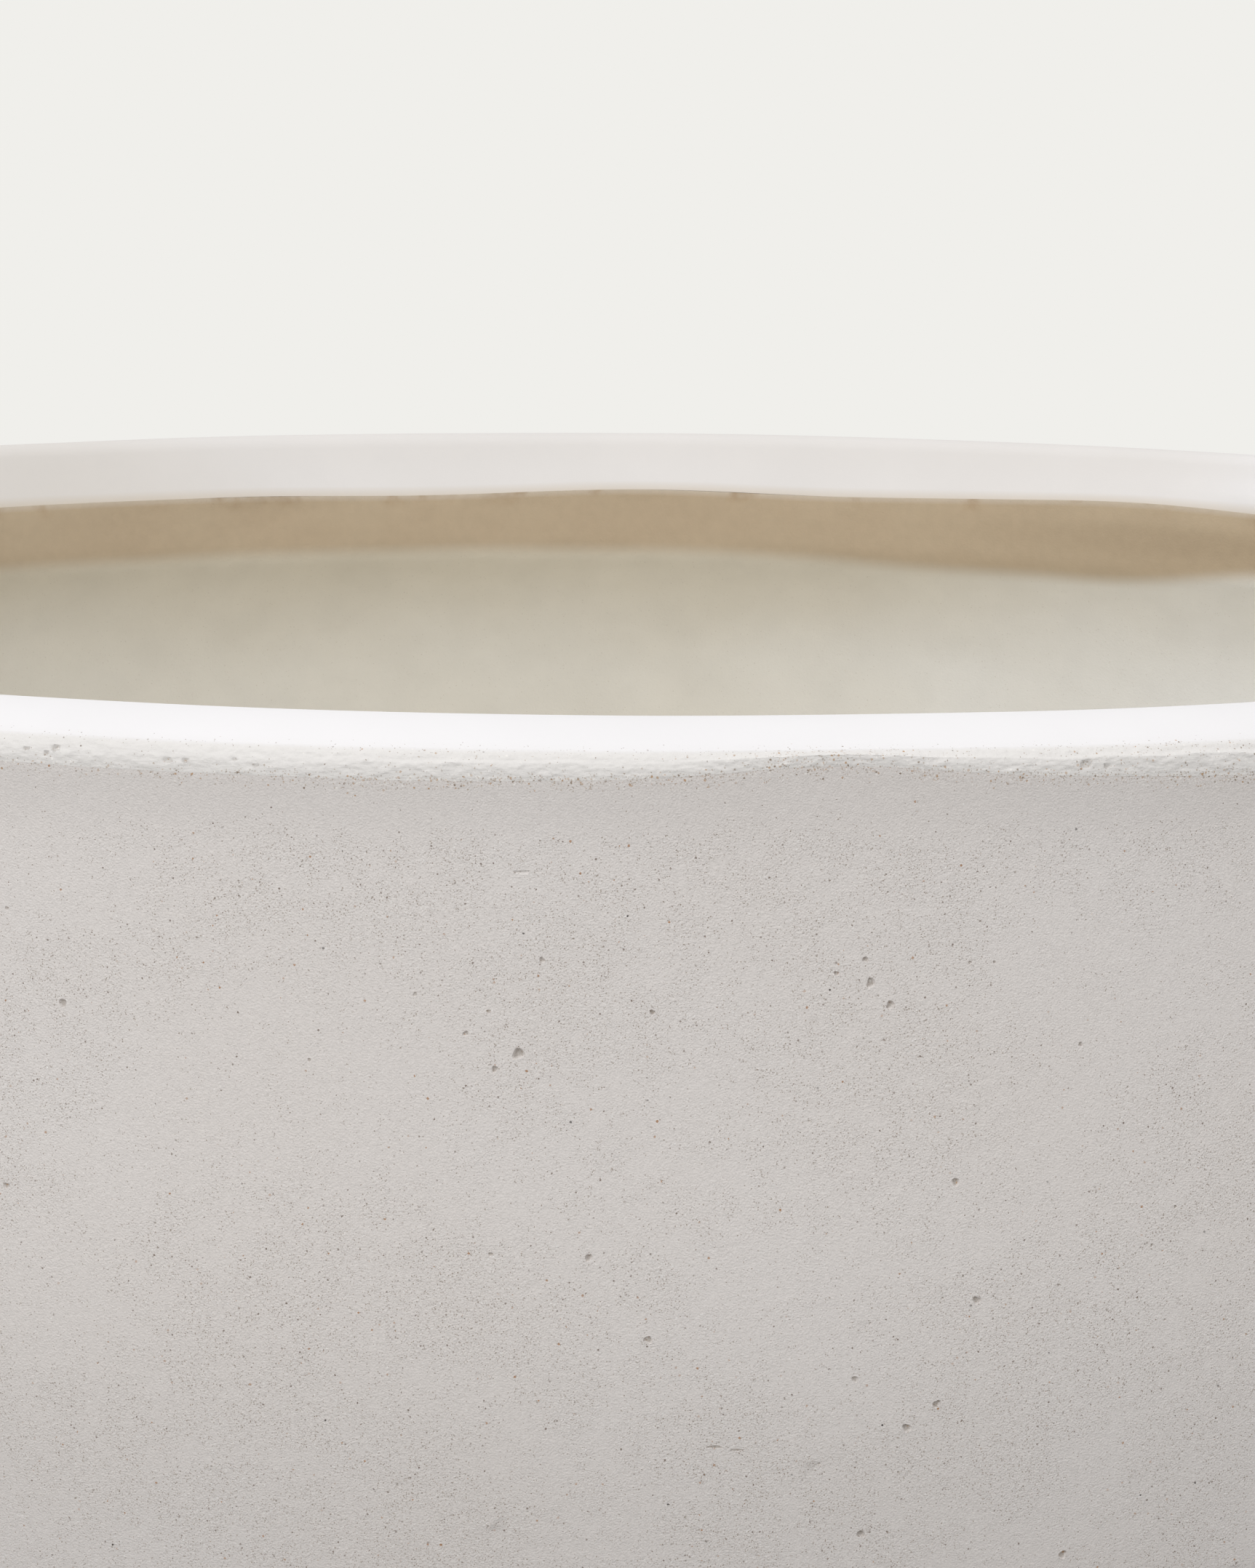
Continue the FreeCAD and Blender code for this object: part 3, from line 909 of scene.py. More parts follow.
@dataclass
class RimCap:
    """White mortar over the wall's top edge: a rough arris, a smooth crown, a crest and a slope inwards."""

    bowl: Bowl
    crest_inset: float = 20.0 * MM
    crown_radius: float = 40.0 * MM
    arris_radius: float = 5.5 * MM
    crest_radius: float = 6.0 * MM
    face_thickness: float = 5.0 * MM
    steps: int = 1200
    fine_side: float = 25.0
    arris_slack: float = 0.05 * MM
    cuts_round: int = 4
    cuts_up: int = 1
    drag_height: float = 0.27 * MM
    tear_length: float = 3.2 * MM
    tear_height: float = 1.9 * MM
    tooth_height: float = 0.08 * MM
    tooth_size: float = 0.8 * MM
    sway: float = 0.3 * MM
    grain_height: float = 0.95 * MM
    speck_height: float = 0.45 * MM
    smear_height: float = 1.3 * MM
    smear_most: float = 0.5
    rough_top: Point = (0.86, 1.04)
    rough_foot: Point = (0.02, 0.30)
    speck_share: float = 0.93
    arris_specks: float = 0.35
    facet_grain: float = 0.55
    # The slope's darker, warmer tone: partly its own tone, partly painted shade, darker towards the crest and
    # painted lighter where the slope rolls out on the far right.
    slope_mask_edge: float = 5.0 * MM
    slope_tone_and_shade_low: float = 0.55
    slope_tone_and_shade_rise: float = 0.25
    roll_painted_light: float = 0.5
    facets: tuple[Bump, ...] = (Bump(7.2, 0.95, 4.6), Bump(18.0, 0.6, 5.5), Bump(-4.5, 0.4, 4.5))
    facet_top: float = 0.60
    facet_reach: float = 0.26
    facet_waver: float = 0.08
    facet_waves: float = 24.0
    sway_waves: float = 4.0
    sway_seed: float = 40.0
    ledge: float = 0.14 * MM
    ledge_height: float = 0.05
    # Painted shade and a pinker tone on the far left of the slope.
    left_tone_and_shade: Bump = Bump(214.0, 1.0, 20.0)
    slope_mask_reach: float = 7.0 * MM
    roll: Bump = Bump(139.0, 1.6 * MM, 6.0)
    roll_top: Point = (0.35, 0.75)
    roll_foot: Point = (0.8, 1.0)
    chips: tuple[Pit, ...] = pits_at(
        (-18.9, 6.2, 0.45, 0.45),
        (-17.9, 5.9, 0.7, 0.6),
        (-18.2, 6.9, 0.5, 0.5),
        (-14.1, 6.9, 0.6, 0.5),
        (-13.5, 6.9, 0.5, 0.5),
        (-11.9, 6.4, 0.3, 0.3),
        (-11.2, 7.3, 0.35, 0.35),
        (15.2, 6.8, 0.75, 0.6),
        (15.9, 7.2, 0.45, 0.45),
    )
    chip_stretch: float = 1.6
    chip_reach: float = 1.4
    chip_edge: Point = (0.65, 0.95)
    chip_way: Point = (0.8, 0.6)
    chip_ragged: float = 0.45
    chip_step: float = 0.9 * MM
    chip_grain: float = 0.5
    # How far the chips are painted dark: bare mortar and painted shade.
    chip_bare_and_shade: float = 0.25
    stray_chips: int = 150
    stray_bearings: Point = (24.0, 338.0)
    stray_drops: Point = (4.5, 8.2)
    stray_radii: Point = (0.4, 0.9)
    stray_depth: float = 0.5 * MM
    seed: int = 4

    @property
    def crest_r(self) -> float:
        """Radius of the crest."""
        return self.bowl.rim_radius - self.crest_inset

    @property
    def arris_turn(self) -> float:
        """Angle where the arris meets the crown."""
        crown_z = self.bowl.height - self.crown_radius
        return math.atan2(self.bowl.foot_z - crown_z, self.crest_inset - self.arris_radius)

    @property
    def arris_top(self) -> float:
        """Height where the arris meets the crown."""
        return self.bowl.foot_z + self.arris_radius * math.sin(self.arris_turn)

    def section(self) -> list[Point]:
        """Section of the cap from the foot of the arris over the crest and back along the bed.

        Returns:
            The section's points.
        """
        bowl = self.bowl
        arris = (bowl.rim_radius - self.arris_radius, bowl.foot_z)
        crown = (self.crest_r, bowl.height - self.crown_radius)
        crest = (self.crest_r, bowl.height - self.crest_radius)
        edge = (bowl.lip_radius, bowl.edge_z)
        seat_r = bowl.wall_radius - self.face_thickness
        to_edge = math.atan2(edge[1] - crest[1], edge[0] - crest[0]) % FULL_TURN
        fall = to_edge - math.acos(self.crest_radius / math.dist(edge, crest))
        over_crest = arc_points(crest, self.crest_radius, QUARTER_TURN, fall, 0.9 * MM)
        return joined(
            arc_points(arris, self.arris_radius, 0.0, self.arris_turn, 0.5 * MM),
            arc_points(crown, self.crown_radius, self.arris_turn, QUARTER_TURN, 2.4 * MM),
            over_crest,
            run_points(over_crest[-1], edge, 3.0 * MM),
            run_points(edge, (seat_r, bowl.edge_z), 13.0 * MM),
            run_points((seat_r, bowl.edge_z), (seat_r, bowl.foot_z), 8.0 * MM),
            run_points((seat_r, bowl.foot_z), (bowl.rim_radius, bowl.foot_z), 3.0 * MM),
        )

    def on_arris(self, co: Vector) -> bool:
        """Whether a point lies on the turned curve of the arris."""
        spoke = (math.hypot(co.x, co.y) - self.bowl.rim_radius + self.arris_radius, co.z - self.bowl.foot_z)
        level = -MERGE_DISTANCE < spoke[1] < self.arris_top - self.bowl.foot_z + MERGE_DISTANCE
        return level and abs(math.hypot(*spoke) - self.arris_radius) < self.arris_slack

    def refine(self, bm: Mesh) -> None:
        """Cut the front of the arris finer, and bring the new corners onto its curve.

        Args:
            bm: The cap's mesh.
        """
        for cuts, level in ((self.cuts_round, True), (self.cuts_up, False)):
            edges = set()
            for face in bm.faces:
                middle = face.calc_center_median()
                if abs(bearing_of(middle)) < self.fine_side and self.on_arris(middle):
                    edges.update(e for e in face.edges if is_level(e) == level)
            bmesh.ops.subdivide_edges(bm, edges=list(edges), cuts=cuts, use_grid_fill=True)
        hub = self.bowl.rim_radius - self.arris_radius
        for vert in bm.verts:
            if self.on_arris(vert.co):
                spoke = Vector((math.hypot(vert.co.x, vert.co.y) - hub, vert.co.z - self.bowl.foot_z))
                spoke *= self.arris_radius / spoke.length
                vert.co = outward(vert.co) * (hub + spoke.x) + UP * (self.bowl.foot_z + spoke.y)
        bm.normal_update()

    def facet(self, bearing: float) -> float:
        """How far the arris is struck off flat at a bearing, from 0 to 1."""
        return max(bump.rise_at(bearing) for bump in self.facets)

    def waver(self, vert: Vert, share: float) -> None:
        """Let the foot of the arris and the edge of the slope stray as a hand leaves them.

        Args:
            vert: A corner of the cap.
            share: Its height on the arris, 0 at the foot and 1 at the crown.
        """
        co = vert.co.copy()
        radius = math.hypot(co.x, co.y)
        bearing = bearing_of(co)
        if radius > self.crest_r:
            struck = self.facet(bearing) * (co.z > self.bowl.foot_z)
            top = self.facet_top + self.facet_reach * struck**2
            top += self.facet_waver * noise.noise(outward(co) * self.facet_waves)
            flat = struck * (1.0 - smooth(share, top - self.ledge_height, top + self.ledge_height))
            lifted = struck**3 * math.exp(-(((share - top) / self.ledge_height) ** 2))
            vert.co += outward(co) * ((self.bowl.rim_radius - radius) * flat + self.ledge * lifted)
            vert.co.z += FOOT_LINE.rise(co) * (1.0 - share)
        else:
            low = clamp((self.bowl.height - co.z) / (self.bowl.height - self.bowl.edge_z))
            vert.co.z += SLOPE_EDGE.rise(co) * low
            bulge = self.roll.rise_at(bearing) * smooth(low, *self.roll_top)
            bulge *= 1.0 - smooth(low, *self.roll_foot)
            vert.co += vert.normal * bulge
        vert.co.z += self.sway * noise.noise(outward(co) * self.sway_waves + UP * self.sway_seed)

    def roughen(self, vert: Vert, mask: float) -> None:
        """Drag the arris along the rim, so that it tears a little, and leave a tooth on it.

        Args:
            vert: A corner of the cap.
            mask: How rough it is there.
        """
        co = vert.co
        round_rim = outward(co) * (self.bowl.rim_radius / self.tear_length)
        tear = 0.5 - noise.turbulence(round_rim + UP * (co.z / self.tear_height), 3, True)
        tooth = noise.noise(co / self.tooth_size)
        vert.co += vert.normal * mask * (self.drag_height * tear + self.tooth_height * tooth)

    def chip(self, bm: Mesh) -> None:
        """Break small chips out of the arris, which show its grains and carry painted shade: the photographed
        ones and strays.

        Args:
            bm: The cap's mesh.
        """
        grain = bm.verts.layers.float["grain"]
        bare_and_shade = bm.verts.layers.float["bare_and_shade"]
        rng = random.Random(self.seed)
        strays = []
        for _ in range(self.stray_chips):
            bearing = rng.uniform(*self.stray_bearings)
            drop = rng.uniform(*self.stray_drops) * MM
            strays.append(Pit(bearing, drop, rng.uniform(*self.stray_radii) * MM, self.stray_depth))
        tree = KDTree(len(bm.verts))
        bm.verts.ensure_lookup_table()
        for vert in bm.verts:
            tree.insert(vert.co, vert.index)
        tree.balance()
        for pit in (*self.chips, *strays):
            share = clamp((self.bowl.height - pit.drop - self.bowl.foot_z) / self.arris_radius)
            radius = self.bowl.rim_radius - self.arris_radius * (1.0 - math.sqrt(1.0 - share**2))
            centre = around(pit.bearing, radius, self.bowl.height - pit.drop)
            side = outward(centre).cross(UP)
            for co, index, _ in tree.find_range(centre, self.chip_reach * pit.radius * self.chip_stretch):
                gap = co - centre
                gap += side * gap.dot(side) * (1.0 / self.chip_stretch - 1.0)
                ragged = gap.length / pit.radius + self.chip_ragged * noise.noise(co / self.chip_step)
                sunk = 1.0 - smooth(ragged, *self.chip_edge)
                vert = bm.verts[index]
                way = outward(co) * self.chip_way[0] + UP * self.chip_way[1]
                vert.co -= way * pit.depth * sunk
                vert[grain] = max(vert[grain], self.chip_grain * sunk)
                # Painted shade in the chip, with its bare mortar.
                vert[bare_and_shade] = max(vert[bare_and_shade], self.chip_bare_and_shade * sunk)

    def build(self, material: Material) -> Piece:
        """Turn the cap, roughen its arris and place it.

        Args:
            material: The floated mortar.

        Returns:
            The cap.
        """
        bm = lathe(self.section(), self.steps)
        self.refine(bm)
        names = ("arris", "grain", "specks", "warm", "smear", "bare_and_shade")
        marks = {name: bm.verts.layers.float.new(name) for name in names}
        rise = self.arris_top - self.bowl.foot_z
        for vert in bm.verts:
            bearing = bearing_of(vert.co)
            radius = math.hypot(vert.co.x, vert.co.y)
            share = (vert.co.z - self.bowl.foot_z) / rise
            outside = radius > self.crest_r and share > -0.1
            mask = (1.0 - smooth(share, *self.rough_top)) * outside
            near_foot = math.exp(-((share * rise / self.grain_height) ** 2)) * outside
            near_foot *= 1.0 - SPARSE_GRAIN.rise_at(bearing)
            near_crown = math.exp(-(((share - self.speck_share) * rise / self.speck_height) ** 2)) * outside
            far = self.slope_mask_reach * smooth(vert.co.y, -self.crest_r, self.crest_r)
            inside = 1.0 - smooth(radius, self.crest_r - self.slope_mask_edge + far, self.crest_r + far)
            high = smooth(radius, self.bowl.lip_radius, self.crest_r)
            vert[marks["arris"]] = mask
            vert[marks["grain"]] = max(near_foot, self.facet_grain * self.facet(bearing) ** 2 * mask)
            vert[marks["specks"]] = max(self.arris_specks * mask, near_crown)
            # Partly painted light and shade: the slope's darker, warmer tone grows towards the crest, is
            # stronger on the far left and weaker where the slope rolls out on the far right.
            rolled = self.roll.rise_at(bearing) / self.roll.rise
            slope_tone_and_shade = self.slope_tone_and_shade_low + self.slope_tone_and_shade_rise * high - self.roll_painted_light * rolled
            vert[marks["warm"]] = max(slope_tone_and_shade, self.left_tone_and_shade.rise_at(bearing)) * inside
            near_edge = (vert.co.z - self.bowl.edge_z) / self.smear_height
            vert[marks["smear"]] = self.smear_most * math.exp(-(near_edge**2)) * inside
            self.waver(vert, clamp(share))
            self.roughen(vert, mask * smooth(share, *self.rough_foot))
        self.chip(bm)
        bm.normal_update()
        return place(bm, "rim_cap_floated", Body.PLANTER, material, "rim_cap")


@dataclass
class OuterWall:
    """Pale cast wall and underside, with air pits where the mould held bubbles."""

    bowl: Bowl
    face_thickness: float = 5.0 * MM
    cove_height: float = 17.0 * MM
    tuck: float = 0.02 * MM
    lap: float = 0.25 * MM
    steps: int = 460
    pitch: float = 4.4 * MM
    sway: float = 0.25 * MM
    sway_size: float = 80.0 * MM
    grain_depth: float = 1.3 * MM
    clear_band: float = 11.0 * MM
    edge_grain: float = 0.9
    sway_from: Point = (10.0 * MM, 50.0 * MM)
    back_pitch: float = 9.0
    stray_pits: int = 620
    stray_top: float = 14.0 * MM
    stray_foot: float = 60.0 * MM
    stray_least: float = 0.28
    stray_more: float = 0.55
    stray_depth: float = 0.8
    pit_cuts: int = 2
    pit_grain: float = 0.6
    # How far the pits are painted dark: painted shade and darker mortar.
    pit_shade: float = 0.6
    pit_uneven: float = 0.11
    pit_inset: float = 0.2 * MM
    pit_rings: tuple[Point, ...] = ((0.16, 0.62), (0.35, 0.38))
    pit_deep: Point = (0.3, 0.7)
    pit_margin: float = 1.3
    pit_gap: float = 0.25 * MM
    seed: int = 11
    pits: tuple[Pit, ...] = pits_at(
        (-3.0, 59.0, 1.1, 0.9),
        (-2.68, 25.2, 0.75, 0.16, 2.0),
        (3.2, 129.2, 0.35, 0.3, 4.2),
        (3.95, 129.8, 0.3, 0.3, 4.0),
        (8.32, 45.0, 0.9, 0.7),
        (8.96, 49.0, 0.8, 0.6),
        (8.14, 40.8, 0.6, 0.5),
        (7.22, 42.7, 0.5, 0.4),
        (1.47, 50.3, 0.55, 0.6),
        (-2.09, 40.7, 0.55, 0.4),
        (-4.5, 54.6, 0.55, 0.4),
        (10.99, 81.3, 0.75, 0.6),
        (11.86, 103.2, 0.8, 0.6),
        (10.95, 122.6, 0.8, 0.6),
        (9.77, 127.3, 0.85, 0.6),
        (8.55, 146.3, 0.8, 0.6),
        (1.49, 110.1, 0.8, 0.6),
        (15.28, 152.8, 0.85, 0.6),
    )

    def section(self) -> list[Point]:
        """Section of the coat: up the outside, over its top edge and down its back.

        Returns:
            The section's points.
        """
        bowl = self.bowl
        cove_r = (self.cove_height**2 + bowl.rim_proud**2) / (2.0 * bowl.rim_proud)
        cove_z = bowl.foot_z - self.cove_height
        cove_turn = math.asin(self.cove_height / cove_r)
        cove = arc_points((bowl.wall_radius + cove_r, cove_z), cove_r, math.pi, math.pi - cove_turn, 1.2 * MM)
        outside = bowl.line(0.0, bowl.underside_z, cove_z, bowl.sleeve_radius, self.pitch)
        back_floor = bowl.underside_z + self.face_thickness
        coarse = self.back_pitch * self.pitch
        back = bowl.line(self.face_thickness, back_floor, bowl.foot_z, bowl.sleeve_radius, coarse)
        lapped = [(bowl.rim_radius - self.tuck, bowl.foot_z + self.lap)]
        return joined(outside, cove[:-1], [(bowl.rim_radius - self.tuck, bowl.foot_z)], lapped, back[::-1])

    def sculpt(self, bm: Mesh) -> None:
        """Follow the rim's foot line, sway a little, and mark where grains gather.

        Args:
            bm: The coat's mesh.
        """
        grain = bm.verts.layers.float.new("grain")
        sand = bm.verts.layers.float.new("sand")
        bm.verts.layers.float.new("hollow")
        for vert in bm.verts:
            co = vert.co.copy()
            near_top = smooth(co.z, self.bowl.foot_z - self.cove_height, self.bowl.foot_z)
            below = self.bowl.foot_z - co.z
            thick = self.edge_grain * (1.0 - SPARSE_GRAIN.rise_at(bearing_of(co)))
            vert[grain] = thick * math.exp(-((below / self.grain_depth) ** 2))
            vert[sand] = smooth(below, 0.4 * self.clear_band, 1.3 * self.clear_band)
            vert.co.z += FOOT_LINE.rise(co) * near_top
            swayed = noise.noise(co / self.sway_size) * (1.0 - near_top) * smooth(co.z, *self.sway_from)
            vert.co += outward(co) * self.sway * swayed

    def stray(self) -> list[Pit]:
        """Pits scattered over the whole wall, small ones most.

        Returns:
            The pits, the same each time.
        """
        rng = random.Random(self.seed)
        spread = self.bowl.height - self.stray_foot
        made = []
        for _ in range(self.stray_pits):
            radius = (self.stray_least + self.stray_more * rng.random() ** 3) * MM
            drop = self.stray_top + (spread - self.stray_top) * rng.random()
            made.append(Pit(rng.uniform(0.0, 360.0), drop, radius, self.stray_depth * radius))
        return made

    def press_pits(self, bm: Mesh) -> None:
        """Sink the pits: each face that holds one is inset, rounded and pushed in twice.

        Args:
            bm: The coat's mesh.
        """
        rng = random.Random(self.seed + 1)
        wall = [f for f in bm.faces if f.normal.dot(outward(f.calc_center_median())) > 0.5]
        tree = KDTree(len(wall))
        for index, face in enumerate(wall):
            tree.insert(face.calc_center_median(), index)
        tree.balance()
        held: dict[int, Pit] = {}
        for pit in (*self.pits, *self.stray()):
            height = self.bowl.height - pit.drop
            _, index, _ = tree.find(around(pit.bearing, self.wall_radius(height), height))
            held.setdefault(index, pit)
        faces = [wall[index] for index in held]
        bmesh.ops.inset_individual(bm, faces=faces, thickness=self.pit_inset, use_even_offset=True)
        bmesh.ops.bisect_edges(bm, edges=list({e for f in faces for e in f.edges}), cuts=self.pit_cuts)
        sizes: dict[Point, list[Face]] = {}
        for face, pit in zip(faces, held.values()):
            self.round_off(face, pit, rng)
            size = (max(0.1, round(pit.radius / MM, 1)) * MM, max(0.1, round(pit.depth / MM, 1)) * MM)
            sizes.setdefault(size, []).append(face)
        grain = bm.verts.layers.float["grain"]
        hollow = bm.verts.layers.float["hollow"]
        for (radius, depth), group in sizes.items():
            deep = smooth(depth / radius, *self.pit_deep)
            for share, sink in self.pit_rings:
                bmesh.ops.inset_individual(bm, faces=group, thickness=share * radius, depth=-sink * depth)
            for vert in {v for face in group for v in face.verts}:
                vert[grain] = self.pit_grain * deep
                # Painted shade and darker mortar in the pit.
                vert[hollow] = self.pit_shade * deep

    def round_off(self, face: Face, pit: Pit, rng: random.Random) -> None:
        """Bring an inset face's corners onto an uneven circle at its pit's place.

        Args:
            face: The inset face.
            pit: The pit that it holds.
            rng: Source of the unevenness.
        """
        middle = face.calc_center_median()
        height = self.bowl.height - pit.drop
        wanted = around(pit.bearing, self.wall_radius(height), height) - middle
        side = outward(middle).cross(UP)
        slide = Vector()
        half_high = self.pit_margin * pit.radius
        for way, half in ((side, half_high * pit.stretch), (UP, half_high)):
            room = max(0.0, 0.5 * self.pitch - half - self.pit_gap)
            slide += way * max(-room, min(room, wanted.dot(way)))
        lobes = [(n, rng.uniform(0.0, FULL_TURN)) for n in (2, 3)]
        for vert in face.verts:
            spoke = (vert.co - middle).normalized()
            angle = math.atan2(spoke.z, spoke.dot(side))
            uneven = 1.0 + sum(self.pit_uneven * math.sin(n * angle + start) for n, start in lobes)
            spoke += side * spoke.dot(side) * (pit.stretch - 1.0)
            vert.co = middle + slide + spoke * pit.radius * uneven

    def wall_radius(self, height: float) -> float:
        """Radius of the outer wall at a height."""
        bowl = self.bowl
        if height > bowl.straight_z:
            return bowl.wall_radius
        drop = bowl.straight_z - height
        return bowl.wall_radius - bowl.belly + math.sqrt(bowl.belly**2 - drop**2)

    def build(self, material: Material) -> Piece:
        """Turn the coat, press its pits and place it.

        Args:
            material: The cast mortar.

        Returns:
            The coat.
        """
        bm = lathe(self.section(), self.steps)
        self.sculpt(bm)
        self.press_pits(bm)
        bm.normal_update()
        return place(bm, "face_coat_pitted", Body.PLANTER, material, "face_coat")


@dataclass
class Lining:
    """Mortar laid by hand inside the wall and over the floor, with soft trowel relief."""

    bowl: Bowl
    outer_inset: float = 6.0 * MM
    inner_inset: float = 18.0 * MM
    flange_radius: float = 29.0 * MM
    flange_thickness: float = 3.0 * MM
    steps: int = 360
    pitch: float = 5.0 * MM
    swell: float = 1.5 * MM
    swell_size: float = 110.0 * MM
    ripple: float = 0.6 * MM
    ripple_size: float = 35.0 * MM

    def section(self) -> list[Point]:
        """Section of the lining: up the inside, over the top and down the back, with the flange's seat.

        Returns:
            The section's points.
        """
        bowl = self.bowl
        seat_z = bowl.floor_z - self.flange_thickness
        inside = bowl.line(self.inner_inset, bowl.floor_z, bowl.edge_z, self.flange_radius, self.pitch)
        back_z = bowl.underside_z + self.outer_inset
        back = bowl.line(self.outer_inset, back_z, bowl.edge_z, bowl.sleeve_radius, 7.0 * self.pitch)
        seat = [(bowl.sleeve_radius, seat_z), (self.flange_radius, seat_z)]
        return joined(seat, inside, back[::-1])

    def build(self, material: Material) -> Piece:
        """Turn the lining, give it its relief and place it.

        Args:
            material: The laid mortar.

        Returns:
            The lining.
        """
        bm = lathe(self.section(), self.steps)
        inner = self.bowl.inner_radius
        for vert in bm.verts:
            co = vert.co.copy()
            radius = math.hypot(co.x, co.y)
            inside = vert.normal.dot(outward(co)) < 0.3 and co.z > self.bowl.floor_z - MERGE_DISTANCE
            clear_of_drain = smooth(radius, 0.035, 0.06)
            clear_of_lip = 1.0 - smooth(co.z, self.bowl.haunch_z - 25.0 * MM, self.bowl.haunch_z)
            mask = inside * clear_of_drain * clear_of_lip * (radius < inner + MERGE_DISTANCE)
            flow = Vector((co.x, co.y, 1.6 * co.z))
            relief = self.swell * noise.noise(flow / self.swell_size)
            relief += self.ripple * noise.noise(flow / self.ripple_size)
            vert.co += vert.normal * mask * relief
        bm.normal_update()
        return place(bm, "backing_shell_laid", Body.PLANTER, material, "backing_shell")


@dataclass
class Lip:
    """Tan mortar ring pressed in under the rim by hand."""

    bowl: Bowl
    nose_radius: float = 14.0 * MM
    lip_height: float = 17.3 * MM
    skim_soft: float = 2.8 * MM
    feather_height: float = 1.8 * MM
    hoop_diameter: float = 6.0 * MM
    hoop_clearance: float = 0.2 * MM
    steps: int = 900
    swell: float = 0.6 * MM
    swell_size: float = 30.0 * MM
    tooth: float = 0.12 * MM
    tooth_size: float = 6.0 * MM

    def section(self) -> list[Point]:
        """Section of the ring: down its face, round the nose, down the cove and up past the hoop's groove.

        Returns:
            The section's points.
        """
        bowl = self.bowl
        haunch = bowl.edge_z - self.lip_height - bowl.haunch_z
        run = bowl.inner_radius - bowl.lip_radius
        cove_radius = (haunch**2 + run**2) / (2.0 * run)
        cove = (bowl.inner_radius - cove_radius, bowl.haunch_z)
        nose_r = bowl.lip_radius + self.nose_radius
        rise = math.sqrt((cove_radius + self.nose_radius) ** 2 - (nose_r - cove[0]) ** 2)
        lean = math.atan2(rise, nose_r - cove[0])
        under = arc_points((nose_r, cove[1] + rise), self.nose_radius, math.pi, math.pi + lean, 1.0 * MM)
        groove_r = self.hoop_diameter / 2.0 + self.hoop_clearance
        hoop = (bowl.inner_radius - groove_r, bowl.edge_z - self.lip_height / 2.0)
        top_z = bowl.edge_z
        return joined(
            run_points((bowl.lip_radius, top_z), under[0], 0.9 * MM),
            under,
            arc_points(cove, cove_radius, lean, 0.0, 1.6 * MM),
            [(bowl.inner_radius, hoop[1] - groove_r)],
            arc_points(hoop, groove_r, 1.5 * math.pi, 0.5 * math.pi, 1.5 * MM),
            [(bowl.inner_radius, hoop[1] + groove_r)],
            run_points((bowl.inner_radius, top_z), (bowl.lip_radius, top_z), 7.0 * MM),
        )

    def build(self, material: Material) -> Piece:
        """Turn the ring, let its edges stray and place it.

        Args:
            material: The pressed mortar.

        Returns:
            The ring.
        """
        bm = lathe(self.section(), self.steps)
        marks = ("edge", "feather", "low", "skim")
        edge, feather, low, skim = (bm.verts.layers.float.new(mark) for mark in marks)
        bowl = self.bowl
        for vert in bm.verts:
            co = vert.co.copy()
            below = bowl.edge_z - co.z
            facing = smooth(bowl.inner_radius - math.hypot(co.x, co.y), 0.2 * MM, 4.0 * MM)
            vert[edge] = 1.0 - smooth(below, 0.0, 5.0 * MM)
            vert[feather] = 0.55 * (1.0 - smooth(below, 0.0, self.feather_height))
            # Where the face carries painted shade: a band across its lower part.
            level = below / self.lip_height
            vert[low] = smooth(level, 0.15, 0.50) * (1.0 - smooth(level, 0.60, 1.05))
            foot = self.lip_height - LIP_FOOT.rise(co)
            vert[skim] = smooth(below, foot - self.skim_soft, foot + self.skim_soft)
            relief = self.swell * noise.noise(co / self.swell_size)
            relief += self.tooth * noise.noise(co / self.tooth_size)
            vert.co += outward(co) * relief * facing * smooth(below, 0.0, 4.0 * MM)
            vert.co.z += SLOPE_EDGE.rise(co) * facing * (1.0 - smooth(below, 0.0, self.lip_height))
        bm.normal_update()
        return place(bm, "lip_stiffener_pressed", Body.PLANTER, material, "lip_stiffener")


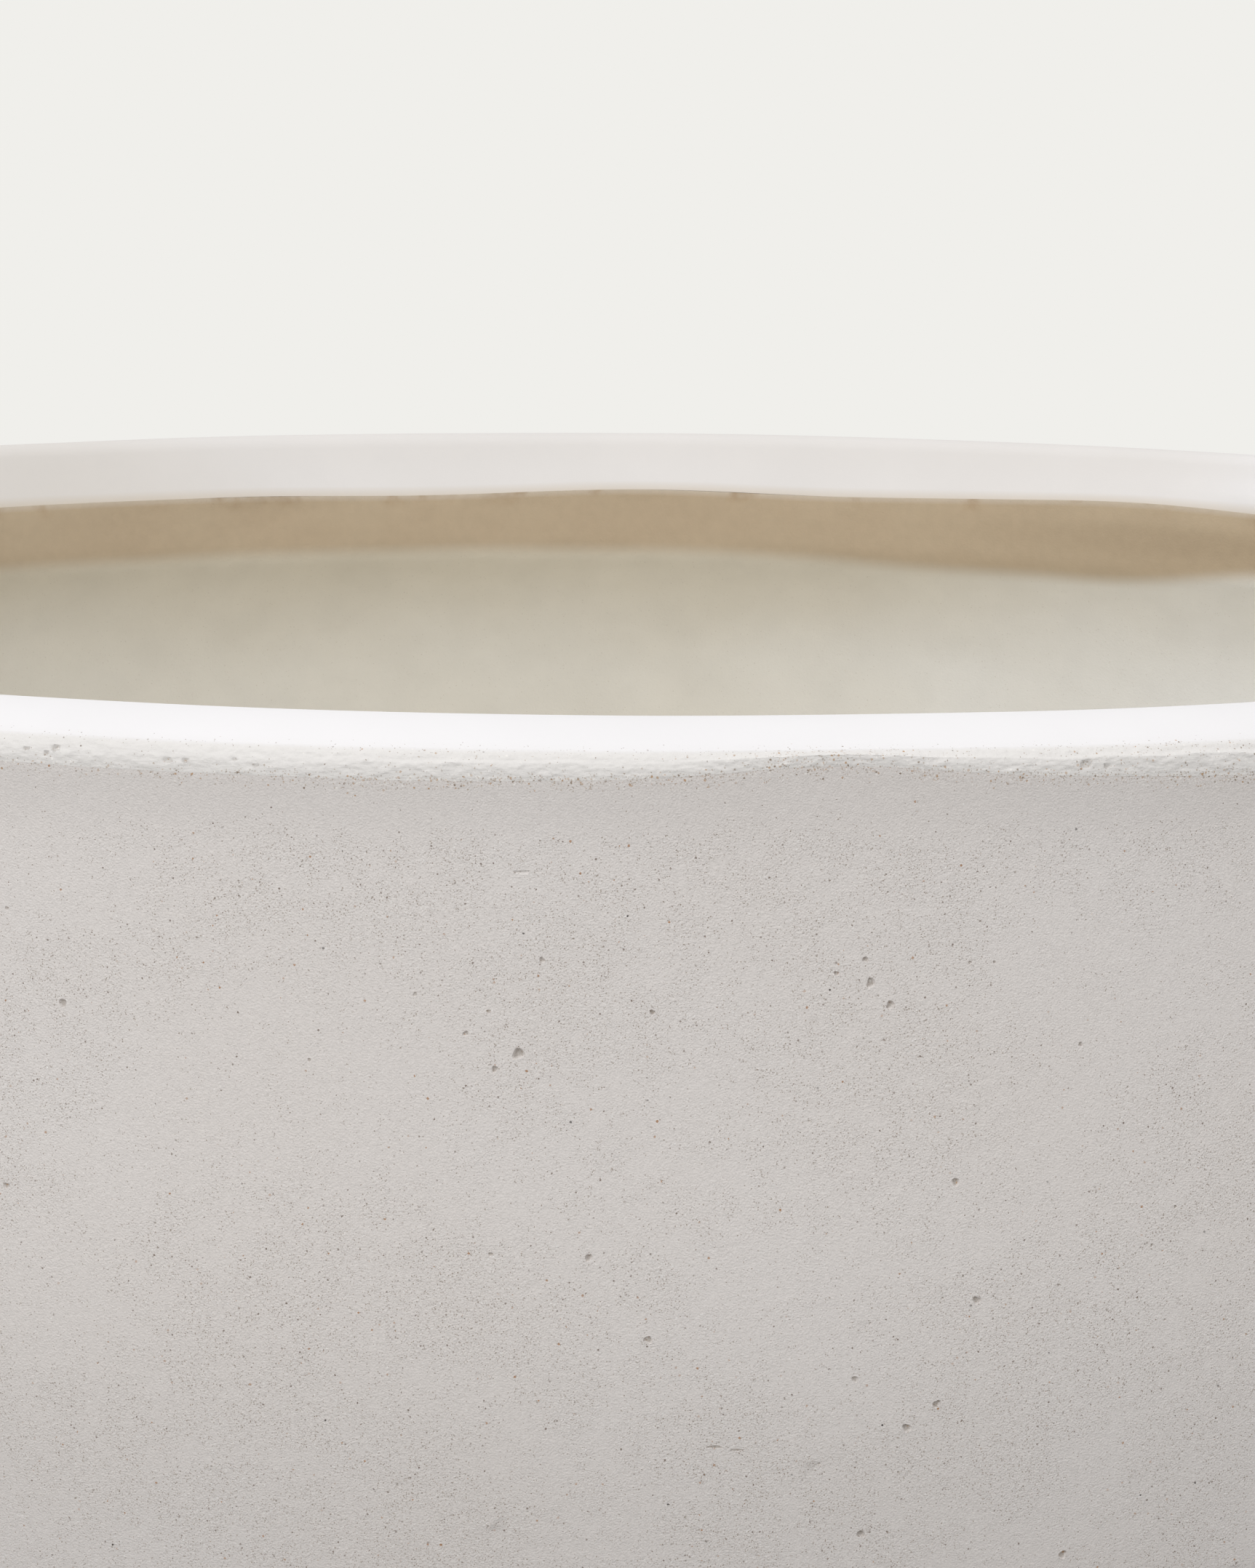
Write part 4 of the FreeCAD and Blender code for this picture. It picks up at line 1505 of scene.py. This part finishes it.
@dataclass
class Drain:
    """Plastic sleeve in the floor and the rubber stopper that closes it."""

    bowl: Bowl
    bore: float = 15.0 * MM
    flange_thickness: float = 3.0 * MM
    plug_clearance: float = 0.3 * MM
    stem_length: float = 18.0 * MM
    stem_taper: float = 1.5 * MM
    head_height: float = 5.0 * MM
    head_rounding: float = 2.0 * MM
    tab_thickness: float = 6.0 * MM
    tab_width: float = 24.0 * MM
    eye_radius: float = 5.5 * MM
    edge_rounding: float = 0.8 * MM
    tab_steps: int = 24
    steps: int = 120

    def sleeve(self, material: Material) -> Piece:
        """Turn the sleeve and break its edges.

        Args:
            material: The pipe plastic.

        Returns:
            The sleeve.
        """
        low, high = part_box("drain_sleeve")
        flange_foot = high.z - self.flange_thickness
        outline = [
            (self.bore, low.z),
            (self.bowl.sleeve_radius, low.z),
            (self.bowl.sleeve_radius, flange_foot),
            (high.x, flange_foot),
            (high.x, high.z),
            (self.bore, high.z),
        ]
        bm = lathe(outline, self.steps)
        self.soften(bm, 0.5 * self.edge_rounding)
        return place(bm, "drain_sleeve_pipe", Body.PLANTER, material, "drain_sleeve")

    def soften(self, bm: Mesh, width: float) -> None:
        """Bevel a mesh's sharp edges.

        Args:
            bm: The mesh.
            width: Width of the bevel.
        """
        sharp = [e for e in bm.edges if len(e.link_faces) == 2 and e.calc_face_angle() > BEVEL_ANGLE]
        shape = {"affect": "EDGES", "segments": 3, "profile": 0.5, "material": -1, "clamp_overlap": True}
        bmesh.ops.bevel(bm, geom=sharp, offset=width, **shape)
        bm.normal_update()

    def tab(self, foot: float, top: float) -> Mesh:
        """Pull tab: an arched plate with a round eye.

        Args:
            foot: Height of its foot.
            top: Height of its top.

        Returns:
            The tab's mesh.
        """
        bm = bmesh.new()
        half = self.tab_width / 2.0
        eye = Vector((0.0, -self.tab_thickness / 2.0, top - half))
        side_on = Matrix.Rotation(QUARTER_TURN, 4, "X")
        start = bm.verts.new(eye + Vector((half, 0.0, 0.0)))
        turn = {"axis": Vector((0.0, -1.0, 0.0)), "cent": eye, "angle": math.pi, "steps": self.tab_steps}
        spun = bmesh.ops.spin(bm, geom=[start], **turn)
        end = next(v for v in spun["geom_last"] if isinstance(v, Vert))
        feet = [bm.verts.new((x, eye.y, foot)) for x in (-half, half)]
        sides = [(end, feet[0]), (feet[0], feet[1]), (feet[1], start)]
        bmesh.ops.bisect_edges(bm, edges=[bm.edges.new(pair) for pair in sides], cuts=3)
        outline = bm.edges[:]
        seat = Matrix.Translation(eye) @ side_on
        hole = bmesh.ops.create_circle(bm, segments=len(outline), radius=self.eye_radius, matrix=seat)
        rim = list({e for v in hole["verts"] for e in v.link_edges})
        bmesh.ops.bridge_loops(bm, edges=outline + rim)
        grown = bmesh.ops.extrude_face_region(bm, geom=bm.faces[:])
        moved = [v for v in grown["geom"] if isinstance(v, Vert)]
        bmesh.ops.translate(bm, verts=moved, vec=Vector((0.0, self.tab_thickness, 0.0)))
        bmesh.ops.recalc_face_normals(bm, faces=bm.faces)
        return bm

    def stopper(self, material: Material) -> Piece:
        """Turn the stopper's stem and head, add the tab and soften all its edges.

        Args:
            material: The black rubber.

        Returns:
            The stopper.
        """
        low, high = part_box("drain_plug")
        seat_z = low.z + self.stem_length
        head_z = seat_z + self.head_height
        stem = self.bore - self.plug_clearance
        rounding = (high.x - self.head_rounding, head_z - self.head_rounding)
        outline = joined(
            [(0.0, low.z), (stem - self.stem_taper, low.z), (stem, seat_z), (high.x, seat_z)],
            arc_points(rounding, self.head_rounding, 0.0, QUARTER_TURN, 0.5 * MM),
            [(0.0, head_z)],
        )
        bm = lathe(outline, self.steps, closed=False)
        self.soften(bm, 0.5 * self.edge_rounding)
        tab = self.tab(head_z - self.edge_rounding, high.z)
        self.soften(tab, self.edge_rounding)
        joint = bpy.data.meshes.new("stopper_tab")
        tab.to_mesh(joint)
        tab.free()
        bm.from_mesh(joint)
        bpy.data.meshes.remove(joint)
        return place(bm, "drain_plug_rubber", Body.STOPPER, material, "drain_plug")


@dataclass
class FootPads:
    """Rubber pads let into the underside."""

    count: int = 4
    chamfer: float = 1.5 * MM
    groove_depth: float = 0.8 * MM
    groove_width: float = 1.6 * MM
    steps: int = 80

    def build(self, material: Material) -> list[Piece]:
        """Turn each pad with a grip groove in its sole, and place it.

        Args:
            material: The pad rubber.

        Returns:
            The pads.
        """
        pads = []
        for number in range(1, self.count + 1):
            node = f"foot_pad_{number}"
            low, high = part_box(node)
            radius = (high.x - low.x) / 2.0
            groove = 0.6 * radius
            half = self.groove_width / 2.0
            section = [
                (0.0, low.z),
                (groove - half, low.z),
                (groove, low.z + self.groove_depth),
                (groove + half, low.z),
                (radius - self.chamfer, low.z),
                (radius, low.z + self.chamfer),
                (radius, high.z),
                (0.0, high.z),
            ]
            bm = lathe(section, self.steps, closed=False)
            middle = (low + high) / 2.0
            bmesh.ops.translate(bm, verts=bm.verts, vec=Vector((middle.x, middle.y, 0.0)))
            pads.append(place(bm, f"{node}_rubber", Body.PLANTER, material, node))
        return pads


@dataclass
class Studio:
    """Plain pale floor, soft light and the photograph's camera."""

    backdrop: Colour = (0.871, 0.863, 0.831)
    floor_tone: Colour = (0.80, 0.79, 0.765)
    floor_bounce: Colour = (0.22, 0.215, 0.205)
    floor_radius: float = 6.0
    fade_from: float = 0.9
    fade_to: float = 3.2
    ambient: Colour = (0.94, 0.94, 0.945)
    camera_place: Colour = (0.0031, -1.2198, 0.5672)
    camera_dip: float = 8.62
    camera_roll: float = 0.406
    lens: float = 120.0
    lit_point: Triple = (0.0, 0.0, 0.42)
    lamps: tuple[tuple[str, Triple, float, float], ...] = (
        ("overhead", (0.0, -1.0, 6.0), 3.0, 12.0),
        ("front_left", (-3.0, -5.0, 3.6), 2.5, 105.0),
    )

    def seen_directly(self, tree: bpy.types.NodeTree) -> Socket:
        """Whether a ray comes from the camera, a reflection or glass.

        Args:
            tree: The node tree that asks.

        Returns:
            1 for such a ray, otherwise 0.
        """
        path = tree.nodes.new("ShaderNodeLightPath")
        total = path.outputs["Is Camera Ray"]
        for kind in ("Is Glossy Ray", "Is Transmission Ray"):
            either = tree.nodes.new("ShaderNodeMath")
            either.operation = "MAXIMUM"
            tree.links.new(total, either.inputs[0])
            tree.links.new(path.outputs[kind], either.inputs[1])
            total = either.outputs[0]
        return total

    def floor(self) -> Piece:
        """Lay a floor that keeps the shadow, fades into the backdrop and sends little light up the wall.

        Returns:
            The floor.
        """
        bm = bmesh.new()
        bmesh.ops.create_circle(bm, cap_ends=True, segments=160, radius=self.floor_radius)
        mesh = bpy.data.meshes.new("floor")
        bm.to_mesh(mesh)
        bm.free()
        shader = Shader("floor_pale")
        far = shader.node("ShaderNodeVectorMath", {0: shader.coords}, operation="LENGTH").outputs["Value"]
        fade = shader.eased(far, self.fade_from, self.fade_to)
        seen = self.seen_directly(shader.material.node_tree)
        share = shader.times(fade, seen)
        tone = shader.mixed(seen, self.floor_bounce, self.floor_tone)
        matt = shader.node("ShaderNodeBsdfDiffuse", {"Color": tone}).outputs[0]
        glow = shader.node("ShaderNodeEmission", {"Color": self.backdrop}).outputs[0]
        mix = shader.node("ShaderNodeMixShader", {0: share, 1: matt, 2: glow}).outputs[0]
        shader.node("ShaderNodeOutputMaterial", {"Surface": mix})
        mesh.materials.append(shader.material)
        floor = bpy.data.objects.new("floor", mesh)
        bpy.context.scene.collection.objects.link(floor)
        return floor

    def world(self) -> None:
        """Light the scene evenly and show the backdrop's colour behind it."""
        world = bpy.data.worlds.new("studio")
        world.use_nodes = True
        tree = world.node_tree
        tree.nodes.clear()
        tones = []
        for colour in (self.ambient, self.backdrop):
            tone = tree.nodes.new("ShaderNodeBackground")
            tone.inputs["Color"].default_value = (*colour, 1.0)
            tones.append(tone.outputs[0])
        mix = tree.nodes.new("ShaderNodeMixShader")
        out = tree.nodes.new("ShaderNodeOutputWorld")
        tree.links.new(self.seen_directly(tree), mix.inputs[0])
        tree.links.new(tones[0], mix.inputs[1])
        tree.links.new(tones[1], mix.inputs[2])
        tree.links.new(mix.outputs[0], out.inputs["Surface"])
        bpy.context.scene.world = world

    def lamp(self, name: str, place_at: Vector, target: Vector, size: float, power: float) -> None:
        """Hang a soft square lamp.

        Args:
            name: The lamp's name.
            place_at: Where it hangs.
            target: The point that it faces.
            size: Length of its sides.
            power: Its power in watts.
        """
        light = bpy.data.lights.new(name, "AREA")
        light.size = size
        light.energy = power
        lamp = bpy.data.objects.new(name, light)
        lamp.location = place_at
        lamp.rotation_euler = (target - place_at).to_track_quat("-Z", "Y").to_euler()
        bpy.context.scene.collection.objects.link(lamp)

    def camera(self) -> None:
        """Set the camera where the photograph was taken from."""
        lens = bpy.data.cameras.new("camera")
        lens.lens = self.lens
        camera = bpy.data.objects.new("camera", lens)
        tilt = Matrix.Rotation(math.radians(90.0 - self.camera_dip), 4, "X")
        roll = Matrix.Rotation(math.radians(self.camera_roll), 4, "Z")
        camera.matrix_world = Matrix.Translation(Vector(self.camera_place)) @ tilt @ roll
        bpy.context.scene.collection.objects.link(camera)
        bpy.context.scene.camera = camera

    def build(self) -> None:
        """Set up the floor, the light and the camera."""
        self.floor()
        self.world()
        for name, spot, size, power in self.lamps:
            self.lamp(name, Vector(spot), Vector(self.lit_point), size, power)
        self.camera()
        bpy.context.scene.view_settings.view_transform = "Standard"


def main() -> None:
    """Build every piece of the planter in order, then the studio round it."""
    logging.basicConfig(level=logging.INFO, format="%(name)s: %(message)s")
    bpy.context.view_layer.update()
    bowl = Bowl.from_frame()
    RimCap(bowl).build(FloatedMortar().make())
    OuterWall(bowl).build(CastMortar().make())
    laid = LaidMortar()
    Lining(bowl).build(laid.make())
    Lip(bowl).build(PressedMortar(laid).make())
    drain = Drain(bowl)
    pipe = Moulded("sleeve_plastic_pipe", (0.26, 0.27, 0.28), (0.33, 0.33, 0.33), 0.42, 0.45, 0.8 * MM)
    rubber = Moulded("plug_rubber_black", (0.022, 0.022, 0.023), (0.045, 0.044, 0.043), 0.55, 0.4, 0.5 * MM)
    sole = Moulded("pad_rubber_black", (0.03, 0.03, 0.03), (0.06, 0.058, 0.055), 0.7, 0.35, 0.7 * MM)
    drain.sleeve(pipe.make())
    drain.stopper(rubber.make())
    FootPads().build(sole.make())
    for node, finish in (("fibre_mat", GlassMat()), ("rim_hoop", DrawnWire())):
        slots = frame["nodes"][node].data.materials
        slots.clear()
        slots.append(finish.make())
        LOG.info("%s: sealed in the wall, keeps its packed shape", node)
    Studio().build()


if __name__ == "__main__":
    main()
